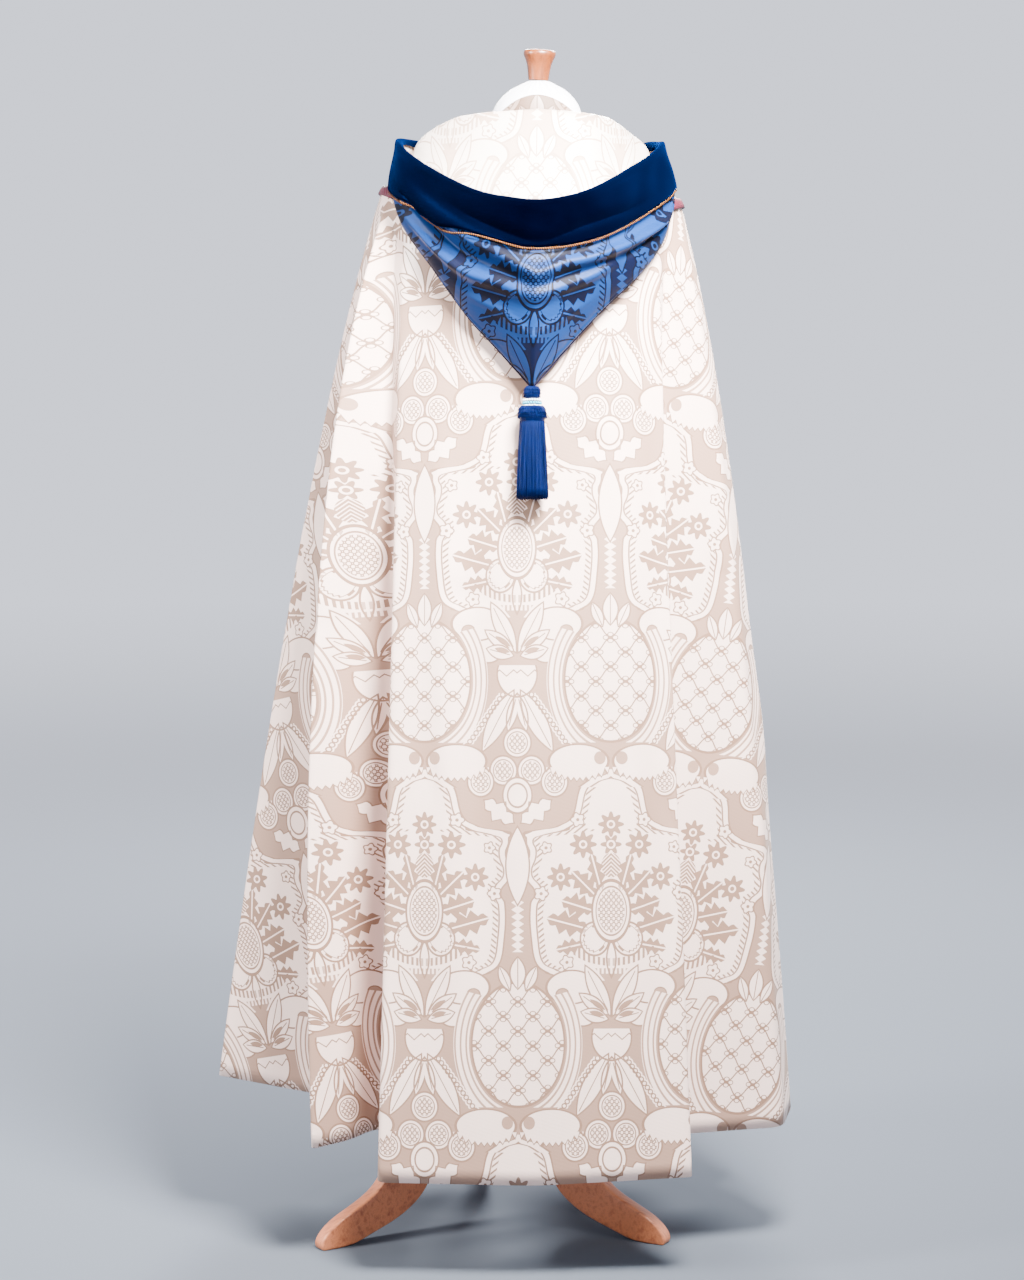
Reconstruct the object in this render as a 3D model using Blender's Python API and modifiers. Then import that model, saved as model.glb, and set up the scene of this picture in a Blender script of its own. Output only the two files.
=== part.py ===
"""A hooded cope on a tripod dress form.

Metres, +Z up. The cope's back, with its hood, faces -Y; its open front faces +Y. The floor is z = 0.
The cope is one draped sheet: its columns run from the neck, over a ring round the shoulders, to the hem,
and a table of folds says where each column meets the hem. The trim is made from the same columns, moved out.
"""

import math
from collections import namedtuple

import bmesh
import bpy
import numpy as np
from mathutils import Vector
from mathutils.bvhtree import BVHTree

COLLECTION = "hooded_cope"

# The stand leans a little, so its axis and the neck move to +X with height.
HUB_X = -0.020
HUB_Z = 0.235
LEAN = 0.0507

# Walls and gaps.
GAP = 0.0004
COPE_WALL = 0.0020
HOOD_WALL = 0.0020
LINING_WALL = 0.0010
VELVET_WALL = 0.0024
ORPHREY_WALL = 0.0020
BRAID_WALL = 0.0012

# The neck seam of the cope: an ellipse that falls from the back to the front.
NECK_X = 0.045
NECK_HALF_WIDTH = 0.070
NECK_HALF_DEPTH = 0.066
NECK_FRONT_REACH = 0.018
NECK_Z = (1.494, 1.468, 1.420)
NECKBAND_HEIGHT = (0.040, 0.024, 0.022)
NECKBAND_LEAN = 0.002
NECKBAND_DEG = 177.0
NECKBAND_COLUMNS = 24

# The ring round the shoulders from which the cloth hangs.
RING_X = 0.038
RING_HALF_WIDTH = 0.201
RING_HALF_DEPTH = 0.130
RING_POWER = 2.4
RING_Z = (1.365, 1.407, 1.355)
RING_RIGHT_DROP = 0.018
YOKE_ROUND = (0.060, 0.030, 0.050)
PULL_AT = 0.28

# The hem, from the left front edge round the back to the right front edge. deg is the column's place on the
# ring, 0 at the back. round_m is the fold's rounding at the hem, pull how far its column bows outwards.
Fold = namedtuple("Fold", "name deg x y z round_m pull")
FOLDS = (
    Fold("left front edge", -178, -0.030, 0.290, 0.168, 0.000, 0.000),
    Fold("left orphrey ridge", -137, -0.172, 0.283, 0.172, 0.022, 0.000),
    Fold("left front valley 3", -130, -0.160, 0.178, 0.178, 0.030, 0.000),
    Fold("left front ridge 2", -122, -0.298, 0.222, 0.182, 0.040, 0.020),
    Fold("left front valley 2", -114, -0.226, 0.112, 0.188, 0.034, 0.020),
    Fold("left front ridge 1", -105, -0.372, 0.118, 0.196, 0.040, 0.040),
    Fold("left front valley 1", -96, -0.258, 0.034, 0.202, 0.034, 0.040),
    Fold("left outer ridge", -86, -0.3965, -0.022, 0.208, 0.014, 0.044),
    Fold("left side valley", -75, -0.212, -0.105, 0.195, 0.022, 0.060),
    Fold("left side ridge", -67, -0.254, -0.212, 0.156, 0.012, 0.110),
    Fold("left back valley", -60, -0.125, -0.155, 0.172, 0.020, 0.020),
    Fold("left panel edge", -53, -0.164, -0.279, 0.131, 0.013, 0.000),
    Fold("centre back", 0, 0.043, -0.294, 0.131, 0.030, 0.000),
    Fold("right panel edge", 51, 0.250, -0.270, 0.136, 0.013, 0.000),
    Fold("right back valley", 58, 0.150, -0.196, 0.166, 0.020, 0.010),
    Fold("right side ridge", 74, 0.374, -0.130, 0.164, 0.014, 0.040),
    Fold("right side corner", 83, 0.394, -0.066, 0.178, 0.018, 0.050),
    Fold("right front valley 1", 95, 0.262, 0.022, 0.192, 0.034, 0.040),
    Fold("right front ridge 1", 105, 0.374, 0.100, 0.190, 0.040, 0.040),
    Fold("right front valley 2", 114, 0.236, 0.106, 0.186, 0.034, 0.020),
    Fold("right front ridge 2", 123, 0.318, 0.208, 0.180, 0.040, 0.020),
    Fold("right front valley 3", 130, 0.190, 0.170, 0.176, 0.030, 0.000),
    Fold("right orphrey ridge", 137, 0.208, 0.282, 0.170, 0.022, 0.000),
    Fold("right front edge", 178, 0.066, 0.290, 0.166, 0.000, 0.000),
)
CORNER_STEPS = 3
STRAIGHT_STEP = 0.075
STRAIGHT_DEG = 9.5
YOKE_ROWS = (0.0, 0.34, 0.64, 0.87, 1.0)
BODY_ROWS = 9
SEAM_DEG = 92
ORPHREY_DEG = 139
ORPHREY_BACK_DEG = 62

# The hood, from its left front end round the back to its right front end. Each station gives the place on
# the neck seam, the ridge where the cloth turns over, the bottom fold of the bag, and the mouth's edge.
Station = namedtuple("Station", "deg ridge fold mouth")
HOOD = (
    Station(-168, (0.012, 0.090, 1.428), (0.002, 0.124, 1.372), (0.006, 0.118, 1.430)),
    Station(-150, (-0.028, 0.086, 1.442), (-0.055, 0.118, 1.386), (-0.044, 0.104, 1.454)),
    Station(-125, (-0.070, 0.066, 1.464), (-0.112, 0.078, 1.418), (-0.100, 0.066, 1.474)),
    Station(-100, (-0.097, 0.035, 1.477), (-0.127, 0.018, 1.438), (-0.133, 0.016, 1.479)),
    Station(-80, (-0.102, 0.010, 1.482), (-0.136, -0.050, 1.422), (-0.140, -0.030, 1.474)),
    Station(-62, (-0.092, -0.015, 1.492), (-0.130, -0.100, 1.366), (-0.127, -0.072, 1.455)),
    Station(-45, (-0.064, -0.045, 1.503), (-0.090, -0.138, 1.308), (-0.091, -0.122, 1.429)),
    Station(-28, (-0.030, -0.070, 1.504), (-0.043, -0.158, 1.244), (-0.036, -0.176, 1.400)),
    Station(-14, (0.005, -0.079, 1.504), (-0.006, -0.166, 1.204), (0.012, -0.208, 1.389)),
    Station(0, (0.045, -0.081, 1.504), (0.038, -0.182, 1.155), (0.0475, -0.213, 1.386)),
    Station(14, (0.085, -0.079, 1.504), (0.083, -0.166, 1.206), (0.086, -0.202, 1.392)),
    Station(28, (0.120, -0.068, 1.503), (0.128, -0.157, 1.254), (0.122, -0.176, 1.405)),
    Station(45, (0.145, -0.042, 1.501), (0.176, -0.136, 1.300), (0.164, -0.122, 1.430)),
    Station(62, (0.166, -0.012, 1.489), (0.208, -0.100, 1.345), (0.198, -0.072, 1.453)),
    Station(80, (0.180, 0.010, 1.479), (0.213, -0.046, 1.405), (0.212, -0.030, 1.470)),
    Station(100, (0.180, 0.035, 1.473), (0.206, 0.020, 1.422), (0.209, 0.016, 1.474)),
    Station(125, (0.158, 0.066, 1.462), (0.195, 0.080, 1.408), (0.187, 0.066, 1.474)),
    Station(150, (0.118, 0.086, 1.442), (0.145, 0.118, 1.384), (0.134, 0.104, 1.454)),
    Station(168, (0.078, 0.090, 1.428), (0.088, 0.124, 1.372), (0.084, 0.118, 1.430)),
)
HOOD_CENTRE = 9
HOOD_CORNER = 5
HOOD_COLUMNS = 28
HOOD_FAR_ROWS = 5
HOOD_NEAR_ROWS = 8
HOOD_TURN = (0.006, 0.0036, 0.0036)
HOOD_TURN_ROWS = 3
HOOD_SEAM_OUT = 0.004
HOOD_FAR_BOW = 0.004
HOOD_REST = 0.0026
HOOD_APART = 0.0052
HOOD_BELLY = 0.020
LINING_IN = 0.0021
LINING_REACH = 0.0024
HOOD_OVER_ROWS = 4
HOOD_ROUNDS = 6
HOOD_REACH = 0.020

# Swags of the hood's outer side: u runs from corner to corner, q from the bottom fold to the mouth.
Swag = namedtuple("Swag", "u_q depth half_width")
SWAGS = (
    Swag(((-0.75, 0.70), (-0.2, 0.63), (0.15, 0.59), (0.5, 0.42), (0.95, 0.24)), 0.012, 0.060),
    Swag(((-0.75, 0.26), (-0.4, 0.36), (0.0, 0.49), (0.35, 0.36), (0.6, 0.30)), 0.009, 0.055),
)

# The velvet band's section, as (distance down from the mouth's edge, distance out from the hood's cloth):
# up the inside, over the top and down the outside. It narrows towards its two front ends.
BAND_SECTION = (
    (0.008, -0.0054),
    (0.001, -0.0054),
    (-0.0042, -0.0032),
    (-0.0054, 0.0004),
    (-0.0038, 0.0034),
    (0.004, 0.0046),
    (0.022, 0.0050),
    (0.042, 0.0064),
    (0.059, 0.0084),
)
BAND_FRONT_SHARE = 0.70
BAND_TAPER = 0.22
BAND_LIMIT = 0.92
BAND_CLOSE = (1.0, 0.70, 0.90)
PIPING_RADIUS = 0.0016
PIPING_DOWN = 0.0028

# The tassel, as (radius, distance below the hood's point).
TASSEL_HEAD = (
    (0.0030, 0.0000),
    (0.0075, 0.0010),
    (0.0105, 0.0050),
    (0.0100, 0.0110),
    (0.0085, 0.0130),
    (0.0125, 0.0150),
    (0.0125, 0.0220),
    (0.0110, 0.0240),
    (0.0170, 0.0260),
    (0.0185, 0.0320),
    (0.0175, 0.0400),
    (0.0165, 0.0430),
)
TASSEL_BACKING = 0.004
TASSEL_RINGS = (0.0164, 0.0112, 0.0058)
TASSEL_SIDES = 16
STRAND_INSET = 0.0004
STRAND_LENGTH = 0.102
STRAND_SPREAD = 1.34
STRAND_TAPER = 0.80
TASSEL_TILT = -0.13

# The torso, as rings: z, half width, half depth.
TORSO_RINGS = (
    (0.800, 0.146, 0.100),
    (0.806, 0.154, 0.108),
    (0.860, 0.164, 0.116),
    (0.940, 0.156, 0.112),
    (1.040, 0.128, 0.096),
    (1.140, 0.138, 0.102),
    (1.240, 0.158, 0.112),
    (1.320, 0.170, 0.108),
    (1.370, 0.176, 0.092),
    (1.402, 0.160, 0.078),
    (1.424, 0.120, 0.062),
    (1.440, 0.083, 0.054),
    (1.458, 0.0652, 0.056),
    (1.485, 0.0612, 0.056),
    (1.512, 0.0605, 0.056),
    (1.530, 0.053, 0.050),
    (1.545, 0.038, 0.036),
    (1.555, 0.020, 0.020),
    (1.558, 0.013, 0.013),
)
TORSO_SIDES = 24
TORSO_POWER = 2.3
TORSO_ROUND_Z = 1.45

# The finial, pole and hub, as (radius, height), from the top down.
FINIAL = ((0.0160, 1.5990), (0.0215, 1.5960), (0.0212, 1.5915), (0.0165, 1.5800), (0.0135, 1.5591))
HUB = (
    (0.0150, 0.3500),
    (0.0200, 0.3460),
    (0.0200, 0.3360),
    (0.0170, 0.3300),
    (0.0300, 0.3100),
    (0.0360, 0.2900),
    (0.0360, 0.1980),
    (0.0310, 0.1860),
    (0.0180, 0.1760),
    (0.0110, 0.1640),
)
POLE_RADIUS = 0.0145
POLE_CLEARANCE = 0.0012
TURNED_SIDES = 18

# A leg's sections, from the hub to the foot: distance from the pole's axis and height, over and under.
LEG_SECTIONS = (
    ((0.0366, 0.282), (0.0366, 0.204)),
    ((0.062, 0.280), (0.064, 0.187)),
    ((0.084, 0.268), (0.076, 0.166)),
    ((0.102, 0.248), (0.084, 0.140)),
    ((0.118, 0.220), (0.089, 0.116)),
    ((0.131, 0.187), (0.095, 0.091)),
    ((0.143, 0.154), (0.103, 0.068)),
    ((0.153, 0.125), (0.114, 0.053)),
    ((0.162, 0.102), (0.128, 0.041)),
    ((0.171, 0.086), (0.144, 0.031)),
    ((0.182, 0.072), (0.161, 0.023)),
    ((0.198, 0.060), (0.180, 0.016)),
    ((0.220, 0.049), (0.200, 0.009)),
    ((0.244, 0.038), (0.216, 0.003)),
    ((0.264, 0.024), (0.230, 0.000)),
    ((0.273, 0.009), (0.270, 0.000)),
)
LEG_HALF_WIDTH = 0.011
LEG_EDGE = 0.003
LEG_CORNERS = 8
LEG_DEGREES = {"leg_left": -57.0, "leg_right": 63.0, "leg_back": 183.0}

# The morse, a plain clasp over the front edges.
MORSE_Z = 1.300
MORSE_SIZE = (0.096, 0.0045, 0.060)
MORSE_EDGE = 0.0012

Finish = namedtuple("Finish", "colour roughness metallic")
FINISHES = {
    "ivory_damask": Finish((0.86, 0.79, 0.70), 0.42, 0.0),
    "cream_lining": Finish((0.88, 0.83, 0.73), 0.45, 0.0),
    "blue_damask": Finish((0.05, 0.15, 0.42), 0.40, 0.0),
    "blue_velvet": Finish((0.008, 0.022, 0.13), 0.85, 0.0),
    "red_gold_cord": Finish((0.28, 0.08, 0.05), 0.50, 0.0),
    "burgundy_braid": Finish((0.22, 0.01, 0.05), 0.60, 0.0),
    "blue_silk": Finish((0.02, 0.05, 0.26), 0.55, 0.0),
    "white_jersey": Finish((0.86, 0.86, 0.90), 0.80, 0.0),
    "honey_wood": Finish((0.55, 0.27, 0.08), 0.40, 0.0),
    "red_wood": Finish((0.34, 0.12, 0.05), 0.38, 0.0),
}


def material(name):
    """The Principled material of this finish, made once."""
    made = bpy.data.materials.get(name)
    if made is None:
        made = bpy.data.materials.new(name)
        made.use_nodes = True
        shader = made.node_tree.nodes["Principled BSDF"]
        shader.inputs["Base Color"].default_value = (*FINISHES[name].colour, 1.0)
        shader.inputs["Roughness"].default_value = FINISHES[name].roughness
        shader.inputs["Metallic"].default_value = FINISHES[name].metallic
    return made


def lean_x(z):
    """Where the stand's axis is at this height."""
    return HUB_X + LEAN * (z - HUB_Z)


def ease(back, side, front, degrees):
    """A value that runs from the back over the side to the front of a ring."""
    cosine = math.cos(math.radians(degrees))
    return side + (back - side if cosine > 0 else front - side) * cosine * cosine


def spline(points, t):
    """A point on the Catmull-Rom curve through the points; t counts them from 0."""
    i = min(int(t), len(points) - 2)
    f = t - i
    near = points[max(i - 1, 0)], points[i], points[i + 1], points[min(i + 2, len(points) - 1)]
    a, b, c, d = (np.asarray(p, float) for p in near)
    return 0.5 * (2 * b + (c - a) * f + (2 * a - 5 * b + 4 * c - d) * f**2 + (3 * b - a - 3 * c + d) * f**3)


def unit(vector):
    return vector / np.linalg.norm(vector)


def normals_of(grid):
    """The normals of a grid of points: those of the cells round each point, weighted by their angles."""
    total = np.zeros_like(grid)
    ways = ((0, 0, 1, 0, 0, 1), (1, 0, 1, 1, 0, 0), (1, 1, 0, 1, 1, 0), (0, 1, 0, 0, 1, 1))
    high, wide = grid.shape[0] - 1, grid.shape[1] - 1
    face = np.cross(grid[1:, 1:] - grid[:-1, :-1], grid[1:, :-1] - grid[:-1, 1:])
    face /= np.linalg.norm(face, axis=2, keepdims=True)
    for i, j, next_i, next_j, last_i, last_j in ways:
        here = grid[i : i + high, j : j + wide]
        ahead = grid[next_i : next_i + high, next_j : next_j + wide] - here
        behind = grid[last_i : last_i + high, last_j : last_j + wide] - here
        lengths = np.linalg.norm(ahead, axis=2) * np.linalg.norm(behind, axis=2)
        angle = np.arccos(np.clip((ahead * behind).sum(axis=2) / lengths, -1.0, 1.0))
        total[i : i + high, j : j + wide] += face * angle[:, :, None]
    return total / np.linalg.norm(total, axis=2, keepdims=True)


def add_object(name, mesh, finish):
    mesh.name = name
    mesh.materials.append(material(finish))
    made = bpy.data.objects.new(name, mesh)
    parts.objects.link(made)
    made.parent = origin
    mesh.shade_smooth()
    return made


def triangles_of(i, j, wide):
    """The two triangles of a cell in a grid this many points wide: every sheet is cut the same way."""
    k = i * wide + j
    return (k, k + 1, k + wide + 1), (k, k + wide + 1, k + wide)


def add_sheet(name, grid, wall, finish, keep=None, flip=False):
    """A wall of cloth whose middle is the grid; keep says which cells it has."""
    high, wide = grid.shape[:2]
    faces = []
    for i in range(high - 1):
        for j in range(wide - 1):
            if keep is None or keep[i, j]:
                faces += [face[::-1] if flip else face for face in triangles_of(i, j, wide)]
    mesh = bpy.data.meshes.new(name)
    mesh.from_pydata(grid.reshape(-1, 3).tolist(), [], faces)
    loose = bmesh.new()
    loose.from_mesh(mesh)
    bmesh.ops.delete(loose, geom=[v for v in loose.verts if not v.link_faces], context="VERTS")
    loose.to_mesh(mesh)
    loose.free()
    made = add_object(name, mesh, finish)
    thick = made.modifiers.new("wall", "SOLIDIFY")
    thick.thickness = wall
    thick.offset = 0.0
    return made


def add_turned(name, profile, finish, sides, turned, at):
    """A turned piece: a profile of (radius, height) from the top down, closed on the axis."""
    points = [(0.0, 0.0, profile[0][1])] + [(r, 0.0, z) for r, z in profile] + [(0.0, 0.0, profile[-1][1])]
    mesh = bpy.data.meshes.new(name)
    mesh.from_pydata(points, [(i, i + 1) for i in range(len(points) - 1)], [])
    made = add_object(name, mesh, finish)
    turn = made.modifiers.new("turn", "SCREW")
    turn.steps = sides
    turn.render_steps = sides
    turn.use_merge_vertices = True
    turn.merge_threshold = 0.0001
    made.rotation_euler = turned
    made.location = at
    return made


# The cope's columns.


def rounded_hem():
    """Rows of (deg, x, y, z, pull) along the hem, with each fold rounded."""
    corners = [np.array((f.deg, f.x, f.y, f.z, f.pull), float) for f in FOLDS]
    rows = [corners[0]]
    for i in range(1, len(corners) - 1):
        before, corner, after = corners[i - 1], corners[i], corners[i + 1]
        length_in = np.linalg.norm((before - corner)[1:4])
        length_out = np.linalg.norm((after - corner)[1:4])
        reach = min(FOLDS[i].round_m, 0.45 * length_in, 0.45 * length_out)
        start = corner + (before - corner) * reach / length_in
        end = corner + (after - corner) * reach / length_out
        rows.extend(straight_rows(rows[-1], start))
        for step in range(1, CORNER_STEPS + 1):
            f = step / CORNER_STEPS
            rows.append((1 - f) ** 2 * start + 2 * f * (1 - f) * corner + f * f * end)
    rows.extend(straight_rows(rows[-1], corners[-1]))
    return rows


def straight_rows(start, end):
    length = np.linalg.norm((end - start)[1:4])
    steps = max(1, math.ceil(length / STRAIGHT_STEP), math.ceil(abs(end - start)[0] / STRAIGHT_DEG))
    return [start + (end - start) * step / steps for step in range(1, steps + 1)]


def neck_point(degrees):
    sine, cosine = math.sin(math.radians(degrees)), math.cos(math.radians(degrees))
    reach = NECK_HALF_DEPTH + (NECK_FRONT_REACH if cosine < 0 else 0.0) * cosine * cosine
    return np.array((NECK_X + NECK_HALF_WIDTH * sine, -reach * cosine, ease(*NECK_Z, degrees)))


def ring_point(degrees):
    sine, cosine = math.sin(math.radians(degrees)), math.cos(math.radians(degrees))
    x = RING_HALF_WIDTH * math.copysign(abs(sine) ** (2 / RING_POWER), sine)
    y = RING_HALF_DEPTH * math.copysign(abs(cosine) ** (2 / RING_POWER), cosine)
    return np.array((RING_X + x, -y, ease(*RING_Z, degrees) - RING_RIGHT_DROP * max(0.0, sine) ** 2))


def column_points(row):
    """The cope's points down one column, from the neck seam to the hem."""
    degrees, hem, pull = row[0], row[1:4], row[4]
    neck, ring = neck_point(degrees), ring_point(degrees)
    out = unit(np.array(((ring[0] - RING_X), ring[1], 0.0)))
    bow = ring + (hem - ring) * PULL_AT + out * pull
    over = ring - unit(bow - ring) * ease(*YOKE_ROUND, degrees)
    points = [(1 - f) ** 2 * neck + 2 * f * (1 - f) * over + f * f * ring for f in YOKE_ROWS]
    for step in range(1, BODY_ROWS + 1):
        f = step / BODY_ROWS
        points.append((1 - f) ** 2 * ring + 2 * f * (1 - f) * bow + f * f * hem)
    return points


def pulled_in(grid, first, last):
    """The grid with an end column moved in by half a gap where another piece meets it."""
    moved = grid.copy()
    for end, inner, use in ((0, 1, first), (-1, -2, last)):
        if use:
            step = grid[inner] - grid[end]
            moved[end] += step / np.linalg.norm(step, axis=1, keepdims=True) * GAP / 2
    return moved


# The hood's surface.


def swag_height(u, q):
    """How far the hood's outer side stands out at this place, on top of its plain line."""
    fade = max(0.0, 1.0 - abs(u) ** 3)
    height = HOOD_BELLY * fade * math.sin(math.pi * min(1.0, q) ** 0.85)
    for swag in SWAGS:
        places, levels = zip(*swag.u_q)
        if places[0] <= u <= places[-1]:
            level = np.interp(u, places, levels)
            ends = min(1.0, (u - places[0]) / 0.3, (places[-1] - u) / 0.3)
            height += swag.depth * ends * math.exp(-(((q - level) / swag.half_width) ** 2))
    return height


def hood_frame(t):
    """The hood's places at a column: neck seam, ridge, fold, mouth, its way out and the fold's radius."""
    degrees = float(spline([s.deg for s in HOOD], t))
    half = HOOD[: HOOD_CENTRE + 1] if t <= HOOD_CENTRE else HOOD[HOOD_CENTRE:]
    fold = spline([s.fold for s in half], t if t <= HOOD_CENTRE else t - HOOD_CENTRE)
    out = unit(np.array((fold[0] - NECK_X, fold[1] + 0.01, 0.0)))
    seam = neck_point(degrees)
    seam = seam + unit(seam - (NECK_X, 0.0, seam[2])) * HOOD_SEAM_OUT
    ridge = spline([s.ridge for s in HOOD], t)
    mouth = spline([s.mouth for s in HOOD], t)
    return seam, ridge, fold, mouth, out, ease(*HOOD_TURN, degrees)


def far_side(t):
    """The hood's points from the neck seam, over the ridge, down to where the bag's fold begins."""
    seam, ridge, fold, _, out, turn = hood_frame(t)
    far_end = fold + (0.0, 0.0, turn) - out * turn
    far = [seam, ridge, ridge + (far_end - ridge) * 0.5 + out * HOOD_FAR_BOW, far_end]
    return [spline(far, 3.0 * k / HOOD_FAR_ROWS) for k in range(HOOD_FAR_ROWS + 1)]


def near_side(t, far_end):
    """The hood's points round the bag's fold and up to the mouth, from the end of its far side."""
    _, _, _, mouth, out, turn = hood_frame(t)
    up = np.array((0.0, 0.0, 1.0))
    turn_centre = far_end + out * turn
    points = []
    for k in range(1, HOOD_TURN_ROWS):
        angle = math.pi * k / HOOD_TURN_ROWS
        points.append(turn_centre - turn * (out * math.cos(angle) + up * math.sin(angle)))
    near_start = turn_centre + out * turn
    u = (t - HOOD_CENTRE) / (HOOD_CENTRE - HOOD_CORNER + 1)
    for k in range(HOOD_NEAR_ROWS + 1):
        q = k / HOOD_NEAR_ROWS
        points.append(near_start + (mouth - near_start) * q + out * swag_height(u, q))
    return points


def lay_outside(grid, cloth_points, cloth_tree, rest, reach):
    """Moves the grid's points out of cloth within reach until they and the faces between them clear it."""
    points = grid.reshape(-1, 3)
    for _ in range(HOOD_ROUNDS):
        push = np.zeros_like(points)
        own_tree, faces = tree_of(grid)
        found = []
        for k, place in enumerate(points):
            near, normal, _, distance = cloth_tree.find_nearest(Vector(place), reach)
            if near is not None:
                height = (Vector(place) - near).dot(normal)
                found.append((rest - (distance if height > 0 else height), normal, (k,)))
        for place, normal in cloth_points:
            hit, _, face, distance = own_tree.find_nearest(place, reach)
            if hit is not None:
                height = (hit - place).dot(normal)
                found.append((rest - (distance if height > 0 else height), normal, faces[face]))
        for lack, normal, corners in found:
            for corner in corners:
                if lack > np.linalg.norm(push[corner]):
                    push[corner] = np.array(normal) * lack
        points += spread(push.reshape(grid.shape)).reshape(-1, 3)


def spread(push):
    """The pushes, with each point moved at least half as far as its neighbours on average."""
    ring = np.pad(push, ((1, 1), (1, 1), (0, 0)), mode="edge")
    mean = (ring[2:, 1:-1] + ring[:-2, 1:-1] + ring[1:-1, 2:] + ring[1:-1, :-2]) / 8
    own = np.linalg.norm(push, axis=2, keepdims=True)
    return np.where(own >= np.linalg.norm(mean, axis=2, keepdims=True), push, mean)


def tree_of(grid):
    """A search tree over the grid's triangles, and the triangles as the numbers of their points."""
    high, wide = grid.shape[:2]
    faces = [face for i in range(high - 1) for j in range(wide - 1) for face in triangles_of(i, j, wide)]
    return BVHTree.FromPolygons([Vector(p) for p in grid.reshape(-1, 3)], faces), faces


def samples_of(grid, normals):
    """The grid's points and the middles between them, each with its normal."""
    found = []
    for i, j in ((0, 0), (1, 0), (0, 1), (1, 1)):
        high, wide = grid.shape[0] - i, grid.shape[1] - j
        for k in (grid, normals):
            found.append(((k[:high, :wide] + k[i:, j:]) / 2).reshape(-1, 3))
    places, ways = np.concatenate(found[0::2]), np.concatenate(found[1::2])
    return [(Vector(place), Vector(way).normalized()) for place, way in zip(places, ways)]


def band_reach(column, place):
    """How far the band comes down this column, as a share: less at the front ends and over a short side."""
    share = BAND_FRONT_SHARE + (1.0 - BAND_FRONT_SHARE) * min(1.0, min(place, 1.0 - place) / BAND_TAPER)
    near = column[-HOOD_NEAR_ROWS - 1 :]
    side = np.linalg.norm(near[1:] - near[:-1], axis=1).sum()
    return min(share, BAND_LIMIT * side / BAND_SECTION[-1][0])


def on_outer_side(column, outs, down, out):
    """A point this far down the hood's outer side from the mouth, and this far out from its cloth."""
    j = len(column) - 1
    while down > 0 and down > np.linalg.norm(column[j - 1] - column[j]):
        down -= np.linalg.norm(column[j - 1] - column[j])
        j -= 1
    length = np.linalg.norm(column[j - 1] - column[j])
    f = down / length
    return column[j] + (column[j - 1] - column[j]) * f + unit(outs[j] * (1 - f) + outs[j - 1] * max(f, 0.0)) * out


def add_tube(name, points, radius, finish):
    """A cord along the points."""
    curve = bpy.data.curves.new(name, "CURVE")
    curve.dimensions = "3D"
    curve.bevel_depth = radius
    curve.bevel_resolution = 2
    curve.use_fill_caps = True
    line = curve.splines.new("POLY")
    line.points.add(len(points) - 1)
    for place, target in zip(points, line.points):
        target.co = (*place, 1.0)
    curve.materials.append(material(finish))
    made = bpy.data.objects.new(name, curve)
    parts.objects.link(made)
    made.parent = origin


def add_skirt(name, point, down):
    """The tassel's skirt: strands drawn out of the underside of a disc, one from each of its cells."""
    mesh = bpy.data.meshes.new(name)
    skirt = bmesh.new()
    profile = [(0.0, 0.0), (TASSEL_RINGS[0], 0.0)] + [(r, -TASSEL_BACKING) for r in (*TASSEL_RINGS, 0.0)]
    ends = [skirt.verts.new((radius, 0.0, -down + z)) for radius, z in profile]
    edges = [skirt.edges.new(pair) for pair in zip(ends[:-1], ends[1:])]
    turn = {"cent": (0.0, 0.0, 0.0), "axis": (0.0, 0.0, 1.0), "angle": 2 * math.pi, "steps": TASSEL_SIDES}
    bmesh.ops.spin(skirt, geom=ends + edges, **turn)
    bmesh.ops.remove_doubles(skirt, verts=skirt.verts, dist=1e-5)
    bmesh.ops.recalc_face_normals(skirt, faces=skirt.faces)
    low = -down - TASSEL_BACKING + 1e-5
    cells = [f for f in skirt.faces if len(f.verts) == 4 and all(v.co.z < low for v in f.verts)]
    bmesh.ops.inset_individual(skirt, faces=cells, thickness=STRAND_INSET)
    for share in (0.55, 0.45):
        grown = bmesh.ops.extrude_discrete_faces(skirt, faces=cells)["faces"]
        for k, cell in enumerate(grown):
            middle = cell.calc_center_median()
            aside = Vector((middle.x, middle.y, 0.0)) * (STRAND_SPREAD - 1.0) * share
            fall = STRAND_LENGTH * share * (1.0 - 0.02 * (k * 7 % 5))
            for vertex in cell.verts:
                vertex.co = middle + (vertex.co - middle) * STRAND_TAPER + aside - Vector((0.0, 0.0, fall))
        cells = grown
    skirt.to_mesh(mesh)
    skirt.free()
    made = add_object(name, mesh, "blue_silk")
    made.rotation_euler = (TASSEL_TILT, 0.0, 0.0)
    made.location = point


def add_leg(name, degree):
    """A curved leg: eight-sided sections from the hub to the foot."""
    ahead = np.array((math.sin(math.radians(degree)), -math.cos(math.radians(degree)), 0.0))
    aside = np.array((ahead[1], -ahead[0], 0.0))
    points = []
    for over, under in LEG_SECTIONS:
        top, bottom = (ahead * reach + (HUB_X, 0.0, height) for reach, height in (over, under))
        down = unit(bottom - top) * LEG_EDGE
        wide, narrow = aside * LEG_HALF_WIDTH, aside * (LEG_HALF_WIDTH - LEG_EDGE)
        points += [top + narrow, top + down + wide, bottom - down + wide, bottom + narrow]
        points += [bottom - narrow, bottom - down - wide, top + down - wide, top - narrow]
    mesh = bpy.data.meshes.new(name)
    mesh.from_pydata(points, [], tube_faces(len(LEG_SECTIONS), LEG_CORNERS))
    add_object(name, mesh, "red_wood")


def tube_faces(sections, sides):
    """The faces of a closed tube whose points come section by section."""
    faces = [tuple(range(sides))[::-1], tuple(range((sections - 1) * sides, sections * sides))]
    for start in range(0, (sections - 1) * sides, sides):
        for k in range(sides):
            after = (k + 1) % sides
            faces.append((start + k, start + after, start + sides + after, start + sides + k))
    return faces


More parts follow.
